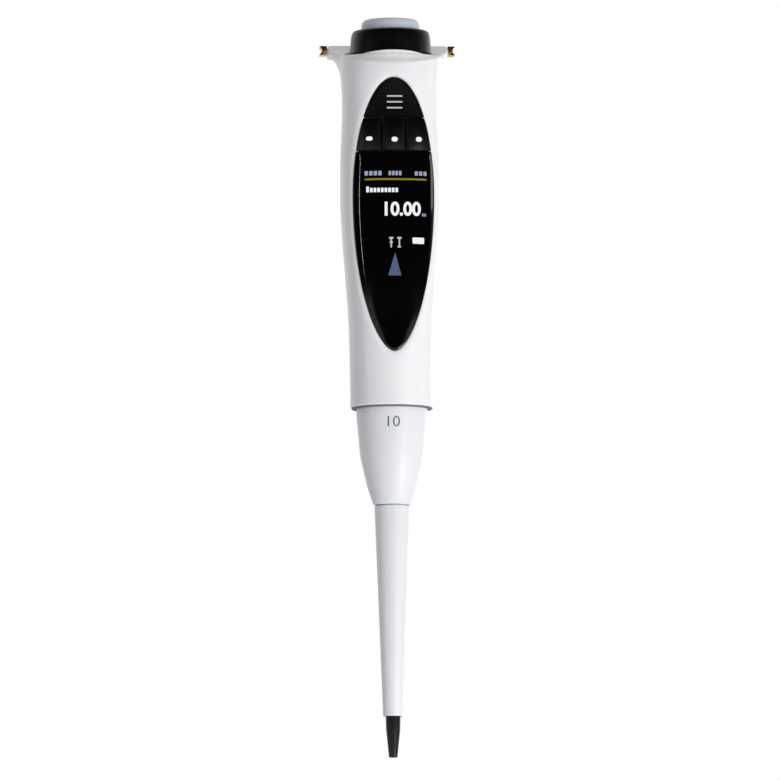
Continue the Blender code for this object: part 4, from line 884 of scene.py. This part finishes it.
def panel_piece(name, outline, material, edge, drop, dish, rings, count):
    """A piece of the panel on the housing's curve, whose sides roll off by a drop at their edge."""
    line = evenly(rounded(outline, 0.5, 5, 0.88, closed=True), count)
    middle = (line.min(0) + line.max(0)) / 2
    ahead = np.roll(line, -1, 0) - np.roll(line, 1, 0)
    sideways = (ahead[:, 1] / np.linalg.norm(ahead, axis=1)) ** 2  # 1 at the sides, 0 at the ends
    rows = []

    def ring_at(points, inset, dished=True, rolled=0.0):
        row = []
        for (x, h), turned_out in zip(points, sideways):
            sunk = inset + rolled * turned_out + (dish(x, h) if dish and dished else 0.0)
            row.append((x, -front_depth(h, x) + sunk, h))
        rows.append(row)

    inner = middle + (line - middle) * (1 - edge / np.abs(line[:, 0] - middle[0]).max())
    for f in [0.02] + [k / rings for k in range(1, rings)]:
        ring_at(middle + (inner - middle) * f, 0.0)
    rolling = (line - inner) * (1 - 0.06 / edge)
    for k in range(9):
        ring_at(inner + rolling * k / 8, 0.0, rolled=drop * (k / 8) ** 2)
    ring_at(line, 0.08, rolled=drop)
    ring_at(line, WALL, False)
    for f in (0.66, 0.33, 0.02):
        ring_at(middle + (line - middle) * f, WALL, False)
    return whole(name, rows, material, sharp=60)


PANEL_GAP = 0.1  # mm between the panel and the edge of its opening
window_black = surface(
    "window polymer", (0.0006, 0.0006, 0.0007), 0.08,
    drift=0.1, grain=3.0, depth=0.0006, uneven=0.02,
)
window_outline = clip(egg_outline(400, PANEL_GAP), 1, 170.55, False)
window = panel_piece("display_window", window_outline, window_black, 2.0, 0.24, None, 30, 320)
stand_for(window, "housing", "display_lens")


# Lit picture: what the display shows, as plain figures and marks of light on the window's
# face. Rows of small plain blocks stand in the places of words.


def lit(name, colour, strength):
    """Light of one colour behind fine rows of display cells, 0.12 mm apart."""
    made, tree, shader = plain(name, {
        "Base Color": (0.01, 0.01, 0.011, 1), "Roughness": 0.3,
        "Specular IOR Level": 0.2, "Emission Strength": strength,
    })
    where = added(tree, "TexCoord").outputs["Object"]
    cells = added(tree, "TexWave", {"Scale": 1000 / 0.12 / math.tau}, {"Vector": where})
    cells.bands_direction = "Z"
    tint = added(tree, "ValToRGB", fed={"Fac": cells.outputs["Fac"]})
    tint.color_ramp.elements[0].color = (*[c * 0.86 for c in colour], 1)
    tint.color_ramp.elements[1].color = (*colour, 1)
    tree.links.new(tint.outputs["Color"], shader.inputs["Emission Color"])
    return made


white_light = lit("white light", (0.93, 0.94, 0.97), 1.0)
blue_light = lit("pale blue light", (0.42, 0.45, 0.66), 0.8)
amber_light = lit("amber light", (0.33, 0.215, 0.0), 0.9)
slate_light = lit("slate light", (0.075, 0.118, 0.215), 1.0)
soft_light = lit("soft white light", (0.60, 0.61, 0.62), 0.9)


def on_panel(x, height, lift):
    """The point of the panel at an x and a height, lifted off it by a little."""
    return x, -front_depth(height, x) - lift, height


def mark(name, columns, material, body="housing", place=on_panel):
    """A flat mark laid on the panel, from columns of (x, low, high) that run across it."""
    flat = bmesh.new()
    parts = 3
    previous = None
    for x, low, high in columns:
        column = [flat.verts.new((x, low + (high - low) * k / parts, 0)) for k in range(parts + 1)]
        if previous:
            for k in range(parts):
                flat.faces.new((previous[k], column[k], column[k + 1], previous[k + 1]))
        previous = column
    return stand_for(laid_on(name, flat, place, material, LIGHT_RISE), body)


def pill(x, height, width, tall, corner=None):
    """Columns of a bar with round ends, or with corners of that radius."""
    corner = tall / 2 if corner is None else corner
    columns = []
    for k in range(25):
        at = width / 2 * math.sin(math.pi * (k / 24 - 0.5))
        past = max(abs(at) - (width / 2 - corner), 0)
        half = tall / 2 - corner + math.sqrt(max(corner**2 - past**2, 0.0)) + 0.004
        columns.append((x + at, height - half, height + half))
    return columns


PIXEL = 0.28378  # mm
FACE = -13.0  # mm from the axis to the panel, which the slanted view shifts aside and down


def seen(px, py):
    """The x and the height on the panel of a place in the picture, given in its pixels."""
    axis = 390.5 + (py - 16.5) / 370
    return (px - axis) * PIXEL + FACE * 0.068, (756.5 - py) * PIXEL + FACE * 0.096


def framed(left, right, top, bottom):
    """The middle, the width and the height in mm of a frame in the picture."""
    (x0, h0), (x1, h1) = seen(left, bottom), seen(right, top)
    return (x0 + x1) / 2, (h0 + h1) / 2, x1 - x0, h1 - h0


def blocks(name, left, right, top, bottom, count, material, first_top=None):
    """Small plain blocks in a row, as long as the word that they stand for."""
    step = (right - left) / count
    for k in range(count):
        upper = first_top if k == 0 and first_top else top
        start = left + step * k
        block = framed(start, left + step * (k + 0.74), upper, bottom)
        mark("%s_%d" % (name, k), pill(*block, 0.2), material)


blocks("menu_left", 364.6, 382.4, 171.2, 175.6, 4, blue_light)
blocks("menu_middle", 388.2, 402.0, 171.2, 175.6, 4, blue_light)
blocks("menu_right", 414.4, 427.6, 171.4, 175.6, 3, blue_light)
blocks("title", 366.2, 398.6, 188.0, 192.4, 9, white_light, 186.6)
x, h, width, _ = framed(364.4, 426.6, 179.4, 179.4)
mark("amber_rule", pill(x, h, width, 0.5), amber_light)
x, h, width, height = framed(384.4, 420.6, 201.8, 216.0)
digits = figures(
    "volume_figures", "10.00", (x, h), height, width, on_panel, white_light, 0.06, weight=0.032
)
stand_for(digits, "housing")
blocks("unit", 421.8, 426.4, 213.2, 216.2, 2, blue_light)

mark("charge_mark", pill(*framed(412.2, 424.0, 237.4, 243.6), 0.3), white_light)
for k, (left, right) in enumerate(((388.8, 393.0), (396.8, 401.2))):
    x, h, width, height = framed(left, right, 237.0, 247.6)
    foot = h if k == 0 else h - height / 2 + 0.25
    mark("tip_stem_%d" % k, pill(x, h, 0.42, height, 0.15), soft_light)
    mark("tip_head_%d" % k, pill(x, h + height / 2 - 0.28, width, 0.55, 0.2), soft_light)
    mark("tip_foot_%d" % k, pill(x, foot, width * 0.75, 0.5, 0.2), soft_light)
(x0, h0), (x1, _), (xm, h1) = seen(388.0, 275.3), seen(401.0, 275.3), seen(394.9, 252.4)
rise = np.linspace(0, 1, 8)
wedge = [(x0 + (xm - x0) * t, h0, h0 + 0.02 + (h1 - h0) * t) for t in rise]
wedge += [(xm + (x1 - xm) * t, h0, h0 + 0.02 + (h1 - h0) * (1 - t)) for t in rise[1:]]
mark("level_wedge", wedge, slate_light)


# Panel keys: the eject key above and three soft keys below it are black satin mouldings. The
# soft keys are crowned like pillows, and white light shows through the marks of all four.

key_black = surface(
    "key moulding", (0.0006, 0.0006, 0.0007), 0.34,
    specular=0.4, drift=0.15, grain=0.3, depth=0.004,
)
KEYS_LOW, KEYS_HIGH, KEYS_MIDDLE = 170.85, 179.95, 175.4


def pillow(centre_x, half):
    """How far a soft key's face falls away from the housing's curve at an (x, height)."""

    def depth(x, h):
        across = min(abs(x - centre_x) / half, 1)
        up = min(abs(h - KEYS_MIDDLE) / 4.6, 1)
        return 0.45 * (1 - (1 - across**2.2) * (1 - up**2.2))

    return depth


def key_outline(left=None, right=None):
    """A soft key's part of the panel, from an x on its left to one on its right."""
    line = clip(egg_outline(400, PANEL_GAP), 1, KEYS_LOW, True)
    line = clip(line, 1, KEYS_HIGH, False)
    for limit, above in ((left, True), (right, False)):
        if limit is not None:
            line = clip(line, 0, limit, above)
    return line


def on_key(dish):
    """Gives the point of a dished key at an x and a height, lifted off it by a little."""
    return lambda x, h, lift: (x, -front_depth(h, x) + dish(x, h) - lift, h)


# Each row: node, body, outline, crown, and the mark's left and right, height and thickness.
keys = (
    ("soft_key_left", "left_key", key_outline(None, -3.6), pillow(-7.6, 4.1),
     365.9, 372.5, 138.7, 1.15),
    ("soft_key_middle", "middle_key", key_outline(-3.3, 3.3), pillow(0.0, 3.4),
     391.2, 397.4, 139.5, 1.35),
    ("soft_key_right", "right_key", key_outline(3.6, None), pillow(7.6, 4.1),
     415.6, 421.8, 139.3, 1.35),
)
for node, body, outline, dish, left, right, row, tall in keys:
    key = panel_piece(node + "_moulded", outline, key_black, 0.4, 0.15, dish, 16, 160)
    stand_for(key, body, node)
    x, h, width, _ = framed(left, right, row, row)
    mark(node + "_mark", pill(x, h, width, tall), white_light, body, on_key(dish))

eject_outline = clip(egg_outline(400, PANEL_GAP), 1, 180.25, True)
eject = panel_piece("eject_key_moulded", eject_outline, key_black, 1.2, 0.3, None, 22, 240)
stand_for(eject, "eject_key", "eject_key")
for k, row in enumerate((96.4, 102.2, 108.1)):
    x, h, width, _ = framed(386.4, 402.1, row, row)
    mark("light_bar_%d" % k, pill(x, h, width, 0.42), soft_light, "eject_key")


# Adjustment wheel: a black moulding with a rounded shoulder, turned by the thumb to set the
# volume. Its hub runs on the head's guide tube inside the cover.

wheel_black = surface(
    "wheel moulding", (0.0010, 0.0010, 0.0011), 0.36, specular=0.35, drift=0.15
)
wheel_profile = [
    (8.65, 205.95), (9.2, 206.1), (10.0, 206.02), (10.45, 205.85), (10.75, 205.55),
    (10.95, 205.15), (11.1, 204.6), (11.22, 203.9), (11.3, 203.0), (11.38, 201.8),
    (11.5, 199.5), (11.35, 199.3), (10.1, 199.3), (10.1, 195.65), (7.95, 195.65),
    (7.95, 204.4), (8.65, 204.4),
]
wheel = revolved("adjustment_wheel_moulded", wheel_profile, wheel_black, 128, 30)
stand_for(wheel, "wheel", "adjustment_wheel")


# Operating button: a pale grey-blue cap with a soft edge, pressed by the thumb. Its stem slides
# in the guide tube on a spring.

button_grey = surface(
    "button moulding", (0.55, 0.60, 0.65), 0.36,
    specular=0.45, drift=0.015, grain=0.5, depth=0.004,
)
button_profile = [
    (0, 209.3), (4.0, 209.3), (6.2, 209.28), (7.1, 209.12), (7.6, 208.86), (7.92, 208.5),
    (8.12, 208.05), (8.25, 207.5), (8.3, 206.8), (8.3, 205.7), (5.85, 205.7), (5.85, 197.5),
    (4.05, 197.5), (4.05, 204.2), (1.2, 204.2), (1.2, 196.1), (0, 196.1),
]
button = revolved("operating_button_moulded", button_profile, button_grey, 128, 30)
stand_for(button, "button", "operating_button")
wound("button_spring", radius=3.5, wire=0.25, turns=6)


# Studio: a pale floor far below the hanging pipette, a white backdrop behind it and soft boxes
# round it. The strongest stands to the right, so that the left side falls into grey.


def larger(tree, first, second):
    """The larger of two nodes' outputs."""
    made = added(tree, "Math", fed={0: first, 1: second})
    made.operation = "MAXIMUM"
    return made.outputs[0]


def seen_rays(tree):
    """1 for the rays of the camera, of reflections and of glass, and 0 for all others."""
    path = added(tree, "LightPath").outputs
    direct = larger(tree, path["Is Camera Ray"], path["Is Glossy Ray"])
    return larger(tree, direct, path["Is Transmission Ray"])


def blend(tree, share, first, second):
    """A colour between two, by a share that another node puts out."""
    made = tree.nodes.new("ShaderNodeMix")
    made.data_type = "RGBA"
    made.inputs[6].default_value = (*first, 1)
    made.inputs[7].default_value = (*second, 1)
    tree.links.new(share, made.inputs[0])
    return made.outputs[2]


world = bpy.data.worlds.new("studio room")
bpy.context.scene.world = world
world.use_nodes = True
tree = world.node_tree
direction = added(tree, "SeparateXYZ", fed={0: added(tree, "TexCoord").outputs["Generated"]})

# The light of the room falls off a little overhead.
room = tree.nodes["Background"]
room.inputs["Strength"].default_value = 1.0
overhead = added(tree, "MapRange", {"From Min": -1.0}, {"Value": direction.outputs["Z"]})
below, above = (0.56, 0.565, 0.575), (0.42, 0.425, 0.435)
tree.links.new(blend(tree, overhead.outputs["Result"], below, above), room.inputs["Color"])

# What is seen of it is white. Reflections see a dark front and the white backdrop behind.
behind = added(
    tree, "MapRange", {"From Min": 0.1, "From Max": 0.7}, {"Value": direction.outputs["Y"]}
)
camera_ray = added(tree, "LightPath").outputs["Is Camera Ray"]
white_part = larger(tree, behind.outputs["Result"], camera_ray)
backdrop = blend(tree, white_part, (0.015, 0.015, 0.016), (1, 1, 1))
shown = added(tree, "Background", fed={"Color": backdrop})
choice = added(
    tree, "MixShader", fed={"Fac": seen_rays(tree), 1: room.outputs[0], 2: shown.outputs[0]}
)
tree.links.new(choice.outputs[0], tree.nodes["World Output"].inputs["Surface"])

floor_mesh = bpy.data.meshes.new("studio_floor")
reach, level = 9.0, -0.95
corners = [(-reach, -reach), (reach, -reach), (reach, reach), (-reach, reach)]
floor_mesh.from_pydata([(x, y, level) for x, y in corners], [], [(0, 1, 2, 3)])
floor = placed("studio_floor", floor_mesh)
floor_paint = surface(
    "floor paint", (0.93, 0.93, 0.93), 0.7, specular=0.1, drift=0.01, grain=4.0, depth=0.02
)
floor_mesh.materials.append(floor_paint)
# Where it is seen, the floor glows a little, so that it is as white as the backdrop.
tree = floor_paint.node_tree
glow = added(tree, "Math", {1: 0.22}, {0: seen_rays(tree)})
glow.operation = "MULTIPLY"
paint = tree.nodes["Principled BSDF"]
paint.inputs["Emission Color"].default_value = (1, 1, 1, 1)
tree.links.new(glow.outputs[0], paint.inputs["Emission Strength"])


AIM = Vector((0, 0, -0.09))


def soft_box(name, place, size, strength):
    """A soft box of some size in metres at a place, turned towards the pipette."""
    lamp = bpy.data.lights.new(name, "AREA")
    lamp.shape = "RECTANGLE"
    lamp.size, lamp.size_y = size
    lamp.energy = strength
    box = placed(name, lamp)
    box.location = place
    box.rotation_euler = (AIM - Vector(place)).to_track_quat("-Z", "Y").to_euler()
    return box


soft_box("front_right_box", (0.80, -1.25, -0.45), (0.9, 1.0), 15.2).visible_glossy = False
soft_box("right_box", (1.42, 0.15, -0.15), (0.4, 1.0), 1.5).visible_glossy = False
soft_box("rear_box", (0.75, 1.3, -0.1), (0.9, 0.9), 2.6)
soft_box("right_glint", (1.42, 0.15, 0.10), (0.3, 0.12), 0.28)
soft_box("left_strip", (-1.38, -0.60, 0.0), (0.012, 0.24), 0.5).visible_diffuse = False
soft_box("low_card", (0.90, -1.10, -0.65), (0.5, 0.45), 4.0).visible_diffuse = False


# Camera: a long lens a little to the left of the front and a little below the middle, as the
# photograph was taken, with the pipette filling the frame's height.

FRAME_HEIGHT = 0.2203
LENS, SENSOR = 1000.0, 36.0
camera_data = bpy.data.cameras.new("camera")
camera_data.sensor_width = SENSOR
camera_data.lens = LENS
camera_data.clip_end = 40
camera = placed("camera", camera_data)
bpy.context.scene.camera = camera
azimuth, elevation, roll = math.radians(-3.9), math.radians(-5.5), math.radians(-0.22)
flat = math.cos(elevation)
away = Vector((math.sin(azimuth) * flat, -math.cos(azimuth) * flat, math.sin(elevation)))
target = Vector((-0.00053, 0, 0.1041 - TIP_TO_ORIGIN / 1000))
camera.location = target + away * (FRAME_HEIGHT * LENS / SENSOR)
facing = (-away).to_track_quat("-Z", "Y").to_matrix()
camera.rotation_euler = (facing @ Matrix.Rotation(roll, 3, "Z")).to_euler()

bpy.context.scene.view_settings.view_transform = "Standard"
